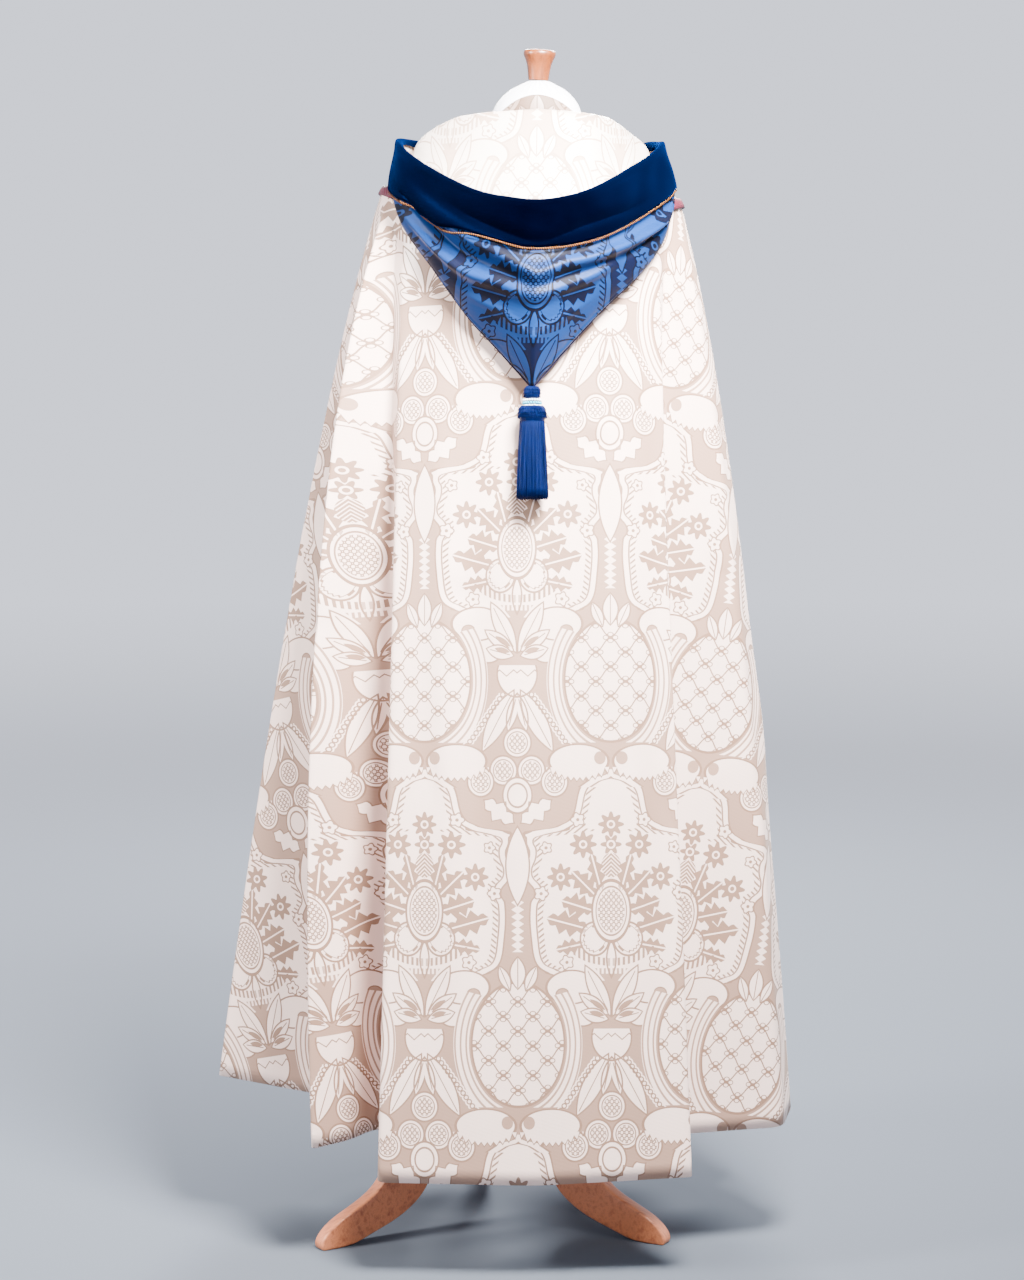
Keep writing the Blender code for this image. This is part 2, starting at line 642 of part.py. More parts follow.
for old in list(bpy.data.objects):
    bpy.data.objects.remove(old, do_unlink=True)
parts = bpy.data.collections.new(COLLECTION)
bpy.context.scene.collection.children.link(parts)
origin = bpy.data.objects.new("origin", None)
parts.objects.link(origin)

# The cope: the whole drape first, then its three pieces.
hem = rounded_hem()
drape = np.array([column_points(row) for row in hem])
outwards = normals_of(drape)
degrees = np.array([row[0] for row in hem])
ring_row = len(YOKE_ROWS) - 1
left_seam = int(np.argmin(abs(degrees + SEAM_DEG)))
right_seam = int(np.argmin(abs(degrees - SEAM_DEG)))
add_sheet("cope_left", pulled_in(drape[: left_seam + 1], False, True), COPE_WALL, "ivory_damask")
add_sheet("cope_back", pulled_in(drape[left_seam : right_seam + 1], True, True), COPE_WALL, "ivory_damask")
add_sheet("cope_right", pulled_in(drape[right_seam:], True, False), COPE_WALL, "ivory_damask")

# The neckband stands on the neck seam.
band_degrees = np.linspace(-NECKBAND_DEG, NECKBAND_DEG, NECKBAND_COLUMNS + 1)
neckband = []
for degree in band_degrees:
    seam = neck_point(degree)
    inward = unit(np.array((NECK_X, 0.0, seam[2])) - seam)
    base = seam + (inward + (0.0, 0.0, 1.0)) * (COPE_WALL / 2 + GAP)
    height = ease(*NECKBAND_HEIGHT, degree)
    neckband.append([base + (0.0, 0.0, height * f) + inward * NECKBAND_LEAN * f for f in (0.0, 0.5, 1.0)])
add_sheet("neckband", np.array(neckband), COPE_WALL, "ivory_damask", flip=True)

# The orphreys lie on the front edges and on the shoulders, and the braid lies on their outer edge.
orphrey = drape + outwards * (COPE_WALL / 2 + GAP + ORPHREY_WALL / 2)
braid = drape + outwards * (COPE_WALL / 2 + 2 * GAP + ORPHREY_WALL + BRAID_WALL / 2)
cover = np.full(drape.shape[:2], COPE_WALL / 2)
for side, sign in (("left", -1), ("right", 1)):
    turned = degrees * sign
    edge_deg = turned[np.argmin(abs(turned - ORPHREY_DEG))]
    lower_end = np.minimum(turned[:-1], turned[1:])
    on_shoulder = (lower_end >= ORPHREY_BACK_DEG) & (lower_end < edge_deg)
    strip = np.zeros((len(hem) - 1, drape.shape[1] - 1), bool)
    strip[lower_end >= edge_deg, :] = True
    strip[on_shoulder, ring_row - 1] = True
    trim = np.zeros_like(strip)
    trim[lower_end == edge_deg, ring_row - 1 :] = True
    trim[on_shoulder, ring_row - 1] = True
    add_sheet(f"orphrey_{side}", orphrey, ORPHREY_WALL, "blue_damask", keep=strip)
    add_sheet(f"braid_{side}", braid, BRAID_WALL, "burgundy_braid", keep=trim)
    for i, j in zip(*np.nonzero(strip)):
        cover[i : i + 2, j : j + 2] = COPE_WALL / 2 + 2 * GAP + ORPHREY_WALL + BRAID_WALL

# The hood rests on the cope and its trim. Its lining and its band are made from its own points.
top = drape + outwards * cover[:, :, None]
over = slice(0, ring_row + HOOD_OVER_ROWS)
last_station = len(HOOD) - 1
hood_places = [last_station * k / HOOD_COLUMNS for k in range(HOOD_COLUMNS + 1)]
far = np.array([far_side(t) for t in hood_places])
lay_outside(far, samples_of(top[:, over], outwards[:, over]), tree_of(top)[0], HOOD_REST, HOOD_REACH)
turned = np.array([near_side(t, column[-1]) for t, column in zip(hood_places, far)])
near = turned[:, HOOD_TURN_ROWS - 1 :].copy()
lay_outside(near, samples_of(far, normals_of(far)), tree_of(far)[0], HOOD_APART, HOOD_APART)
turned[:, HOOD_TURN_ROWS - 1 :] = near
hood = np.concatenate((far, turned), axis=1)
hood_out = -normals_of(hood)
add_sheet("hood", hood, HOOD_WALL, "blue_damask", flip=True)
lining = hood - hood_out * LINING_IN
lining_rest = HOOD_WALL / 2 + LINING_WALL / 2 + GAP
lay_outside(lining, samples_of(hood, -hood_out), tree_of(hood)[0], lining_rest, LINING_REACH)
add_sheet("hood_lining", lining, LINING_WALL, "cream_lining", flip=True)

velvet = []
cord = []
for i, t in enumerate(hood_places):
    share = band_reach(hood[i], t / last_station)
    close = ease(*BAND_CLOSE, float(spline([s.deg for s in HOOD], t)))
    section = [(down * share, out * close if out > 0 else out) for down, out in BAND_SECTION]
    velvet.append([on_outer_side(hood[i], hood_out[i], down, out) for down, out in section])
    cord.append(on_outer_side(hood[i], hood_out[i], section[-1][0] + PIPING_DOWN, section[-1][1]))
add_sheet("hood_band", np.array(velvet), VELVET_WALL, "blue_velvet")
add_tube("hood_piping", cord[2:-2], PIPING_RADIUS, "red_gold_cord")

# The tassel hangs from the hood's point, along the slope of the cloth.
point = hood[HOOD_COLUMNS // 2, HOOD_FAR_ROWS + 1] - (0.0, 0.0, HOOD_WALL / 2 + GAP)
head_profile = [(radius, -down) for radius, down in TASSEL_HEAD]
add_turned("tassel_head", head_profile, "blue_silk", TASSEL_SIDES, (TASSEL_TILT, 0.0, 0.0), point)
add_skirt("tassel_skirt", point, TASSEL_HEAD[-1][1] + GAP)

# The dress form and its stand.
rings = []
for z, half_width, half_depth in TORSO_RINGS:
    for k in range(TORSO_SIDES):
        angle = 2 * math.pi * k / TORSO_SIDES
        power = 2 / (TORSO_POWER if z < TORSO_ROUND_Z else 2.0)
        x = math.copysign(abs(math.cos(angle)) ** power, math.cos(angle)) * half_width
        y = math.copysign(abs(math.sin(angle)) ** power, math.sin(angle)) * half_depth
        rings.append((lean_x(z) + x, y, z))
torso_mesh = bpy.data.meshes.new("form_torso")
torso_mesh.from_pydata(rings, [], tube_faces(len(TORSO_RINGS), TORSO_SIDES))
add_object("form_torso", torso_mesh, "white_jersey")

tilt = math.atan(LEAN)
finial_base = FINIAL[-1][1]
finial_profile = [(radius, z - finial_base) for radius, z in FINIAL]
finial_at = (lean_x(finial_base), 0.0, finial_base)
add_turned("finial", finial_profile, "honey_wood", TURNED_SIDES, (0.0, tilt, 0.0), finial_at)
add_turned("hub", HUB, "red_wood", TURNED_SIDES, (0.0, 0.0, 0.0), (HUB_X, 0.0, 0.0))
pole_base = HUB[0][1] + POLE_CLEARANCE
pole_length = (TORSO_RINGS[0][0] - POLE_CLEARANCE - pole_base) / math.cos(tilt)
pole_profile = [(POLE_RADIUS, pole_length), (POLE_RADIUS, 0.0)]
pole_at = (lean_x(pole_base), 0.0, pole_base)
add_turned("pole", pole_profile, "red_wood", TURNED_SIDES, (0.0, tilt, 0.0), pole_at)
for name, degree in LEG_DEGREES.items():
    add_leg(name, degree)

# The morse lies over the two front edges.
edge_points = []
for column in (drape[0], drape[-1]):
    order = np.argsort(column[ring_row:, 2])
    body = column[ring_row:][order]
    edge_points.append([np.interp(MORSE_Z, body[:, 2], body[:, k]) for k in range(3)])
front = (np.array(edge_points[0]) + edge_points[1]) / 2
slope = math.atan2(drape[0, -1, 1] - drape[0, ring_row, 1], drape[0, ring_row, 2] - drape[0, -1, 2])
lift = COPE_WALL / 2 + 2 * GAP + ORPHREY_WALL + MORSE_SIZE[1] / 2
bpy.ops.mesh.primitive_cube_add(size=1.0)
morse = bpy.context.object
morse.name = "morse"
morse.data.name = "morse"
morse.data.materials.append(material("blue_velvet"))
for vertex in morse.data.vertices:
    vertex.co = [c * s for c, s in zip(vertex.co, MORSE_SIZE)]
for old in list(morse.users_collection):
    old.objects.unlink(morse)
parts.objects.link(morse)
morse.parent = origin
morse.rotation_euler = (slope, 0.0, 0.0)
morse.location = front + np.array((0.0, math.cos(slope), math.sin(slope))) * lift
edge = morse.modifiers.new("edge", "BEVEL")
edge.width = MORSE_EDGE
edge.segments = 2
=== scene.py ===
"""A cope of ivory damask with a blue hood, seen from behind on a wooden tripod dress form."""

import math
import random
from collections import namedtuple

import bmesh
import bpy
import numpy as np
from mathutils import Matrix, Vector
from mathutils.bvhtree import BVHTree


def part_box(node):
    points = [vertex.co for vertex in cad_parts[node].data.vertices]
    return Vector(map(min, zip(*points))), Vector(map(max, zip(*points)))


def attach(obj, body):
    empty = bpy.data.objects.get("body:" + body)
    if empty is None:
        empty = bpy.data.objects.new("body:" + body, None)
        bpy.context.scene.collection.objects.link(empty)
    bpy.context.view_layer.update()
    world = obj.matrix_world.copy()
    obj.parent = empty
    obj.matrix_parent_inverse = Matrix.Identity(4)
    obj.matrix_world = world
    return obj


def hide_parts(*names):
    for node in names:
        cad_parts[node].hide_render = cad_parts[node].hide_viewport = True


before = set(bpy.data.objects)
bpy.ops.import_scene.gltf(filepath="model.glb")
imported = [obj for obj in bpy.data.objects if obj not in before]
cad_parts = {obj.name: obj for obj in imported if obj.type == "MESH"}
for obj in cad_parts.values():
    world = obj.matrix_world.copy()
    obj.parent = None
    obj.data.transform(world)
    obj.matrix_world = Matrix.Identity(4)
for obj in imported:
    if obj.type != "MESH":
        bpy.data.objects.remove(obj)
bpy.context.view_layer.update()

# The three legs: curved blades sawn from a reddish hardwood board, their long edges rounded over, then
# varnished. Each is glued to the hub at its top and stands on its own flat heel.
HUB_X = -0.020
LEG_HALF_WIDTH = 0.011
# Along the blade: where its upper and its lower edge are, each as (out from the hub's axis, height).
LEG_SECTIONS = (
    ((0.0366, 0.282), (0.0366, 0.204)), ((0.062, 0.280), (0.064, 0.187)), ((0.084, 0.268), (0.076, 0.166)),
    ((0.102, 0.248), (0.084, 0.140)), ((0.118, 0.220), (0.089, 0.116)), ((0.131, 0.187), (0.095, 0.091)),
    ((0.143, 0.154), (0.103, 0.068)), ((0.153, 0.125), (0.114, 0.053)), ((0.162, 0.102), (0.128, 0.041)),
    ((0.171, 0.086), (0.144, 0.031)), ((0.182, 0.072), (0.161, 0.023)), ((0.198, 0.060), (0.180, 0.016)),
    ((0.220, 0.049), (0.200, 0.009)), ((0.244, 0.038), (0.216, 0.003)), ((0.264, 0.024), (0.230, 0.000)),
    ((0.273, 0.009), (0.270, 0.000)),
)
LEGS = (("left", -57.0), ("right", 63.0), ("back", 183.0))
LEG_ROUNDING = 0.0030


def adds(operation):
    """An operator between two values, which adds a Math node."""
    return lambda value, other: value.math(operation, other)


class Value:
    """A number, colour or vector that changes over a surface. Its operators add the nodes of a material."""

    def __init__(self, finish, socket):
        self.finish = finish
        self.socket = socket

    def math(self, operation, *others):
        return self.finish.node("ShaderNodeMath", {"operation": operation}, (self, *others))

    def __rsub__(self, other):
        return self.finish.node("ShaderNodeMath", {"operation": "SUBTRACT"}, (other, self))

    def __abs__(self):
        return self.math("ABSOLUTE")

    __add__ = __radd__ = adds("ADD")
    __sub__ = adds("SUBTRACT")
    __mul__ = __rmul__ = __and__ = adds("MULTIPLY")
    __truediv__ = adds("DIVIDE")
    __or__ = adds("MAXIMUM")
    __lt__ = adds("LESS_THAN")
    __gt__ = adds("GREATER_THAN")


class Finish:
    """A material in the making: its Principled shader, and the nodes that feed it."""

    def __init__(self, name):
        self.material = bpy.data.materials.new(name)
        self.material.use_nodes = True
        self.tree = self.material.node_tree
        self.shader = self.tree.nodes["Principled BSDF"]

    def node(self, kind, settings, inputs=(), output=0):
        made = self.tree.nodes.new(kind)
        for setting, value in settings.items():
            if setting == "stops":
                ramp = made.color_ramp
                while len(ramp.elements) < len(value):
                    ramp.elements.new(0.5)
                for element, (place, colour) in zip(ramp.elements, value):
                    element.position = place
                    element.color = (*colour, 1.0)
            elif setting == "points":
                curve = made.mapping.curves[0]
                for x, y in value[1:-1]:
                    curve.points.new(x, y)
                curve.points[0].location = value[0]
                curve.points[-1].location = value[-1]
                made.mapping.update()
            else:
                setattr(made, setting, value)
        pairs = inputs.items() if isinstance(inputs, dict) else enumerate(inputs)
        for key, value in pairs:
            self.feed(made.inputs[key], value)
        return Value(self, made.outputs[output])

    def feed(self, socket, value):
        if isinstance(value, Value):
            self.tree.links.new(value.socket, socket)
        elif socket.type == "RGBA":
            socket.default_value = (*value, 1.0)
        else:
            socket.default_value = value

    def mix(self, factor, first, second):
        """A colour between the two."""
        return self.node("ShaderNodeMix", {"data_type": "RGBA"}, {0: factor, 6: first, 7: second}, 2)

    def place(self, turn=(0.0, 0.0, 0.0), scale=(1.0, 1.0, 1.0)):
        """The surface's own place, turned and stretched."""
        at = self.node("ShaderNodeTexCoord", {}, (), "Object")
        return self.node("ShaderNodeMapping", {}, {"Vector": at, "Rotation": turn, "Scale": scale})

    def noise(self, at, scale, detail=2.0, roughness=0.5):
        inputs = {"Vector": at, "Scale": scale, "Detail": detail, "Roughness": roughness}
        return self.node("ShaderNodeTexNoise", {}, inputs)

    def bump(self, height, distance, strength):
        return self.node("ShaderNodeBump", {}, {"Height": height, "Distance": distance, "Strength": strength})

    def set(self, **sockets):
        for name, value in sockets.items():
            self.feed(self.shader.inputs[name.replace("_", " ")], value)
        return self.material


def varnished_wood(name, dark, light, turn, stretch):
    """Sawn hardwood under satin varnish: long grain with dark pores, and slow changes of tone."""
    finish = Finish(name)
    grain = finish.noise(finish.place(turn, stretch), 60.0, 6.0, 0.62)
    slow = finish.noise(finish.place(), 9.0, 3.0)
    pores = finish.noise(finish.place(turn, tuple(3 * s for s in stretch)), 240.0, 2.0) > 0.64
    tone = finish.node("ShaderNodeValToRGB", {"stops": [(0.30, dark), (0.52, light), (0.72, dark)]}, (grain,))
    streaked = finish.mix(pores * 0.45, tone, tuple(0.45 * c for c in dark))
    colour = finish.mix(slow * 0.5, streaked, tuple(0.72 * c for c in light))
    return finish.set(
        Base_Color=colour,
        Roughness=grain * 0.22 + 0.27,
        Coat_Weight=0.35,
        Coat_Roughness=0.22,
        Normal=finish.bump(grain * 0.6 - pores * 0.5, 0.0004, 0.5),
    )


def finish_piece(piece, material, slot, *nodes):
    """Gives a piece its finish, lets it ride with the model, and puts it in the place of its solids."""
    piece.data.materials.clear()
    piece.data.materials.append(material)
    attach(piece, "root")
    if nodes:
        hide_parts(*nodes)


def round_edges(piece, width):
    """Rounds over the piece's sharp edges, once its modifiers are applied."""
    rounding = piece.modifiers.new("rounding", "BEVEL")
    rounding.width = width
    rounding.segments = 3
    rounding.limit_method = "ANGLE"
    rounding.angle_limit = math.radians(50)


def apply_all(piece):
    """Applies every modifier of the piece, and its place."""
    bpy.ops.object.select_all(action="DESELECT")
    piece.select_set(True)
    bpy.context.view_layer.objects.active = piece
    for modifier in list(piece.modifiers):
        bpy.ops.object.modifier_apply(modifier=modifier.name)
    bpy.ops.object.transform_apply(location=True, rotation=True, scale=True)


bpy.context.tool_settings.mesh_select_mode = (True, False, False)
(top_x, top_z), (_, low_z) = LEG_SECTIONS[0]
bpy.ops.object.select_all(action="DESELECT")
bpy.ops.mesh.primitive_plane_add(size=1.0, location=(top_x, 0, (top_z + low_z) / 2), rotation=(0, math.pi / 2, 0))
leg = bpy.context.object
leg.scale = (top_z - low_z, 2 * LEG_HALF_WIDTH, 1)
bpy.ops.object.transform_apply(location=True, rotation=True, scale=True)
bpy.ops.object.mode_set(mode="EDIT")
bpy.ops.mesh.select_all(action="SELECT")
for before, after in zip(LEG_SECTIONS[:-1], LEG_SECTIONS[1:]):
    bpy.ops.mesh.extrude_region_move(TRANSFORM_OT_translate={"value": (0, 0, 0)})
    edit = bmesh.from_edit_mesh(leg.data)
    edit.verts.ensure_lookup_table()
    ends = sorted((v.index for v in edit.verts if v.select), key=lambda k: edit.verts[k].co.z)
    for which, pair in ((0, ends[2:]), (1, ends[:2])):
        edit = bmesh.from_edit_mesh(leg.data)
        for vertex in edit.verts:
            vertex.select = vertex.index in pair
        edit.select_flush_mode()
        step = (after[which][0] - before[which][0], 0, after[which][1] - before[which][1])
        bpy.ops.transform.translate(value=step)
    edit = bmesh.from_edit_mesh(leg.data)
    edit.verts.ensure_lookup_table()
    for vertex in edit.verts:
        vertex.select = vertex.index in ends
    edit.select_flush_mode()
bpy.ops.mesh.select_all(action="SELECT")
bpy.ops.mesh.normals_make_consistent(inside=False)
bpy.ops.object.mode_set(mode="OBJECT")
round_edges(leg, LEG_ROUNDING)
smoothing = leg.modifiers.new("smoothing", "SUBSURF")
smoothing.levels = smoothing.render_levels = 2
apply_all(leg)
bpy.ops.object.shade_smooth()

# Painted light: the legs' wood is the hub and pole's hardwood with colours about half again as light, which lifts
# the legs out of the shade under the cope.
legs_wood_painted_light = varnished_wood(
    "hardwood_painted_light_legs", (0.26, 0.068, 0.027), (0.60, 0.200, 0.082), (0.0, 0.6, 0.0), (0.25, 3.0, 1.2)
)
for side, degree in LEGS:
    copy = leg.copy()
    copy.data = leg.data.copy()
    copy.name = copy.data.name = f"stand_leg_{side}"
    bpy.context.collection.objects.link(copy)
    copy.data.transform(Matrix.Translation((HUB_X, 0, 0)) @ Matrix.Rotation(math.radians(degree - 90), 4, "Z"))
    finish_piece(copy, legs_wood_painted_light, "red_wood", f"leg_{side}")
bpy.data.objects.remove(leg)

# The hub, the pole and the neck knob, all turned on a lathe. The hub carries the legs, the pole stands in
# its socket, and the knob of paler wood caps the form's neck.
LEAN = 0.0507
HUB_Z = 0.235
# The profiles, from the bottom up, as (radius, height).
HUB_PROFILE = (
    (0.0105, 0.1640), (0.0112, 0.1645), (0.0150, 0.1715), (0.0180, 0.1760), (0.0265, 0.1800),
    (0.0310, 0.1860), (0.0350, 0.1920), (0.0360, 0.1985), (0.0360, 0.2890), (0.0350, 0.2960),
    (0.0300, 0.3100), (0.0215, 0.3220), (0.0172, 0.3290), (0.0172, 0.3312), (0.0195, 0.3345),
    (0.0200, 0.3365), (0.0200, 0.3455), (0.0190, 0.3490), (0.0160, 0.3499),
)
KNOB_PROFILE = (
    (0.0134, 1.5592), (0.0139, 1.5630), (0.0150, 1.5720), (0.0165, 1.5800), (0.0188, 1.5865), (0.0208, 1.5905),
    (0.0215, 1.5930), (0.0215, 1.5955), (0.0208, 1.5975), (0.0190, 1.5986), (0.0150, 1.5991),
)
POLE_PROFILE = ((0.0140, 0.3512), (0.0145, 0.3520), (0.0145, 0.7975), (0.0140, 0.7985))
TURNED_SIDES = 64


def lean_x(z):
    """Where the stand's axis is at this height."""
    return HUB_X + LEAN * (z - HUB_Z)


def drawn_up(name, profile, sides):
    """A disc at the origin, drawn up through a profile of (radius, height) from its first height."""
    radius, height = profile[0]
    bpy.ops.object.select_all(action="DESELECT")
    bpy.ops.mesh.primitive_circle_add(vertices=sides, radius=radius, fill_type="NGON", location=(0, 0, 0))
    piece = bpy.context.object
    piece.name = name
    bpy.ops.object.mode_set(mode="EDIT")
    bpy.ops.mesh.select_all(action="SELECT")
    for next_radius, next_height in profile[1:]:
        bpy.ops.mesh.extrude_region_move(TRANSFORM_OT_translate={"value": (0, 0, next_height - height)})
        grow = next_radius / radius
        bpy.ops.transform.resize(value=(grow, grow, 1), center_override=(0, 0, 0))
        radius, height = next_radius, next_height
    bpy.ops.mesh.select_all(action="SELECT")
    bpy.ops.mesh.normals_make_consistent(inside=False)
    bpy.ops.object.mode_set(mode="OBJECT")
    return piece


def turned(name, profile, leaning):
    """A lathe-turned piece, upright or leaning with the stand's axis."""
    piece = drawn_up(name, profile, TURNED_SIDES)
    base = profile[0][1]
    piece.location = (lean_x(base) if leaning else HUB_X, 0, base)
    piece.rotation_euler = (0, math.atan(LEAN) if leaning else 0, 0)
    apply_all(piece)
    bpy.ops.object.shade_smooth_by_angle(angle=math.radians(40))
    return piece


turned_wood = varnished_wood(
    "turned_hardwood", (0.165, 0.040, 0.014), (0.42, 0.135, 0.052), (0, 0, 0), (3.0, 3.0, 0.25)
)
knob_wood = varnished_wood(
    "honey_beech", (0.060, 0.011, 0.0009), (0.150, 0.034, 0.0032), (0, 0, 0), (2.4, 2.4, 0.30)
)
finish_piece(turned("stand_hub", HUB_PROFILE, False), turned_wood, "red_wood", "hub")
finish_piece(turned("stand_pole", POLE_PROFILE, True), turned_wood, "red_wood", "pole")
finish_piece(turned("neck_knob", KNOB_PROFILE, True), knob_wood, "honey_wood", "finial")

# The dress form: wadding over a stiff shell, covered in white cotton jersey that is seamed at the centre
# back and the sides and gathered round the knob. The cloth rests on its shoulders and its neck.
# Its rings, from the bottom up, as (height, half width, half depth). They are a little square up to the neck.
TORSO_RINGS = (
    (0.800, 0.146, 0.100), (0.806, 0.154, 0.108), (0.860, 0.164, 0.116), (0.940, 0.156, 0.112),
    (1.040, 0.128, 0.096), (1.140, 0.138, 0.102), (1.240, 0.158, 0.112), (1.320, 0.170, 0.108),
    (1.370, 0.176, 0.092), (1.402, 0.160, 0.078), (1.424, 0.120, 0.062), (1.440, 0.083, 0.054),
    (1.458, 0.0652, 0.056), (1.485, 0.0612, 0.056), (1.512, 0.0605, 0.056), (1.530, 0.053, 0.050),
    (1.545, 0.038, 0.036), (1.555, 0.020, 0.020), (1.558, 0.013, 0.013),
)
TORSO_SIDES = 96
TORSO_STEPS = 5
TORSO_POWER = 2.3
TORSO_ROUND_Z = 1.45
GATHERS = 26
GATHER_DEPTH = 0.035
GATHER_Z = (1.530, 1.558)
SEAM_SINK = 0.0012
SEAM_WIDTH = 0.045
SEAM_ANGLES = (0.0, 0.5, 1.5, math.pi, 1.5 * math.pi, 2.0 * math.pi)


def spline(points, t):
    """A point on the smooth curve through the points; t counts them from 0."""
    i = min(int(t), len(points) - 2)
    f = t - i
    near = points[max(i - 1, 0)], points[i], points[i + 1], points[min(i + 2, len(points) - 1)]
    a, b, c, d = (np.asarray(p, float) for p in near)
    return 0.5 * (2 * b + (c - a) * f + (2 * a - 5 * b + 4 * c - d) * f**2 + (3 * b - a - 3 * c + d) * f**3)


def new_mesh(name, points, faces):
    mesh = bpy.data.meshes.new(name)
    mesh.from_pydata([tuple(p) for p in points], [], faces)
    piece = bpy.data.objects.new(name, mesh)
    bpy.context.collection.objects.link(piece)
    mesh.shade_smooth()
    return piece


def ring_faces(rings, sides):
    """The faces of a tube whose points come ring by ring, with a cap at each end."""
    faces = [tuple(range(sides))[::-1], tuple(range((rings - 1) * sides, rings * sides))]
    for start in range(0, (rings - 1) * sides, sides):
        for k in range(sides):
            after = (k + 1) % sides
            faces.append((start + k, start + after, start + sides + after, start + sides + k))
    return faces


torso_points = []
torso_rings = (len(TORSO_RINGS) - 1) * TORSO_STEPS + 1
for ring in range(torso_rings):
    z, half_width, half_depth = spline(TORSO_RINGS, ring / TORSO_STEPS)
    for k in range(TORSO_SIDES):
        angle = 2 * math.pi * k / TORSO_SIDES
        power = 2 / (TORSO_POWER if z < TORSO_ROUND_Z else 2.0)
        drawn = max(0.0, (z - GATHER_Z[0]) / (GATHER_Z[1] - GATHER_Z[0]))
        gather = 1.0 + GATHER_DEPTH * drawn * math.sin(GATHERS * angle + 0.6 * math.sin(3 * angle))
        sunk = SEAM_SINK * sum(math.exp(-(((angle - seam) / SEAM_WIDTH) ** 2)) for seam in SEAM_ANGLES)
        x = math.copysign(abs(math.cos(angle)) ** power, math.cos(angle)) * (half_width * gather - sunk)
        y = math.copysign(abs(math.sin(angle)) ** power, math.sin(angle)) * (half_depth * gather - sunk)
        torso_points.append((lean_x(z) + x, y, z))
torso = new_mesh("form_body", torso_points, ring_faces(torso_rings, TORSO_SIDES))

jersey = Finish("white_jersey_knit")
rib = jersey.node("ShaderNodeTexWave", {"bands_direction": "X"}, {"Vector": jersey.place(), "Scale": 320.0})
slub = jersey.noise(jersey.place(), 700.0, 3.0)
soiled = jersey.noise(jersey.place(), 7.0, 4.0)
white = jersey.mix(soiled * 0.5, (0.70, 0.70, 0.77), (0.61, 0.62, 0.70))
jersey_white = jersey.set(
    Base_Color=white,
    Roughness=slub * 0.15 + 0.75,
    Sheen_Weight=0.3,
    Normal=jersey.bump(rib * 0.5 + slub, 0.0005, 0.5),
)
finish_piece(torso, jersey_white, "white_jersey", "form_torso")

# The cope: three widths of ivory silk damask, interlined and lined, seamed from the neck over each shoulder
# and down inside the side folds. It is one drape: each column of points runs from the neck seam over a ring
# round the shoulders to the hem, and the table of folds says where it meets the hem.
GAP = 0.0004
COPE_WALL = 0.0020
NECK_X = 0.045
NECK_HALF_WIDTH = 0.070
NECK_HALF_DEPTH = 0.066
NECK_FRONT_REACH = 0.018
NECK_Z = (1.494, 1.468, 1.420)
RING_X = 0.038
RING_HALF_WIDTH = 0.201
RING_HALF_DEPTH = 0.130
RING_POWER = 2.4
RING_Z = (1.365, 1.407, 1.355)
RING_RIGHT_DROP = 0.018
YOKE_ROUND = (0.060, 0.030, 0.050)
PULL_AT = 0.28
# Each fold of the hem: the neck's degree that it hangs from, its corner, how far that is rounded, and how far
# the cloth above it is pulled out.
Fold = namedtuple("Fold", "name deg x y z round_m pull")
FOLDS = (
    Fold("left front edge", -178, -0.030, 0.290, 0.168, 0.000, 0.000),
    Fold("left orphrey ridge", -137, -0.172, 0.283, 0.172, 0.022, 0.000),
    Fold("left front valley 3", -130, -0.160, 0.178, 0.178, 0.030, 0.000),
    Fold("left front ridge 2", -122, -0.298, 0.222, 0.182, 0.040, 0.020),
    Fold("left front valley 2", -114, -0.226, 0.112, 0.188, 0.034, 0.020),
    Fold("left front ridge 1", -105, -0.372, 0.118, 0.196, 0.040, 0.040),
    Fold("left front valley 1", -96, -0.258, 0.034, 0.202, 0.034, 0.040),
    Fold("left outer ridge", -86, -0.3965, -0.022, 0.208, 0.014, 0.044),
    Fold("left side valley", -75, -0.212, -0.105, 0.195, 0.022, 0.060),
    Fold("left side ridge", -67, -0.254, -0.212, 0.156, 0.012, 0.110),
    Fold("left back valley", -60, -0.125, -0.155, 0.172, 0.020, 0.020),
    Fold("left panel edge", -53, -0.164, -0.279, 0.131, 0.013, 0.000),
    Fold("centre back", 0, 0.043, -0.294, 0.131, 0.030, 0.000),
    Fold("right panel edge", 51, 0.250, -0.270, 0.136, 0.013, 0.000),
    Fold("right back valley", 58, 0.150, -0.196, 0.166, 0.020, 0.010),
    Fold("right side ridge", 74, 0.374, -0.130, 0.164, 0.014, 0.040),
    Fold("right side corner", 83, 0.394, -0.066, 0.178, 0.018, 0.050),
    Fold("right front valley 1", 95, 0.262, 0.022, 0.192, 0.034, 0.040),
    Fold("right front ridge 1", 105, 0.374, 0.100, 0.190, 0.040, 0.040),
    Fold("right front valley 2", 114, 0.236, 0.106, 0.186, 0.034, 0.020),
    Fold("right front ridge 2", 123, 0.318, 0.208, 0.180, 0.040, 0.020),
    Fold("right front valley 3", 130, 0.190, 0.170, 0.176, 0.030, 0.000),
    Fold("right orphrey ridge", 137, 0.208, 0.282, 0.170, 0.022, 0.000),
    Fold("right front edge", 178, 0.066, 0.290, 0.166, 0.000, 0.000),
)
ROUND_LIMIT = 0.45
CORNER_STEPS = 9
STRAIGHT_STEP = 0.0135
YOKE_STEPS = 18
BODY_STEPS = 92
SEAM_DEG = 92
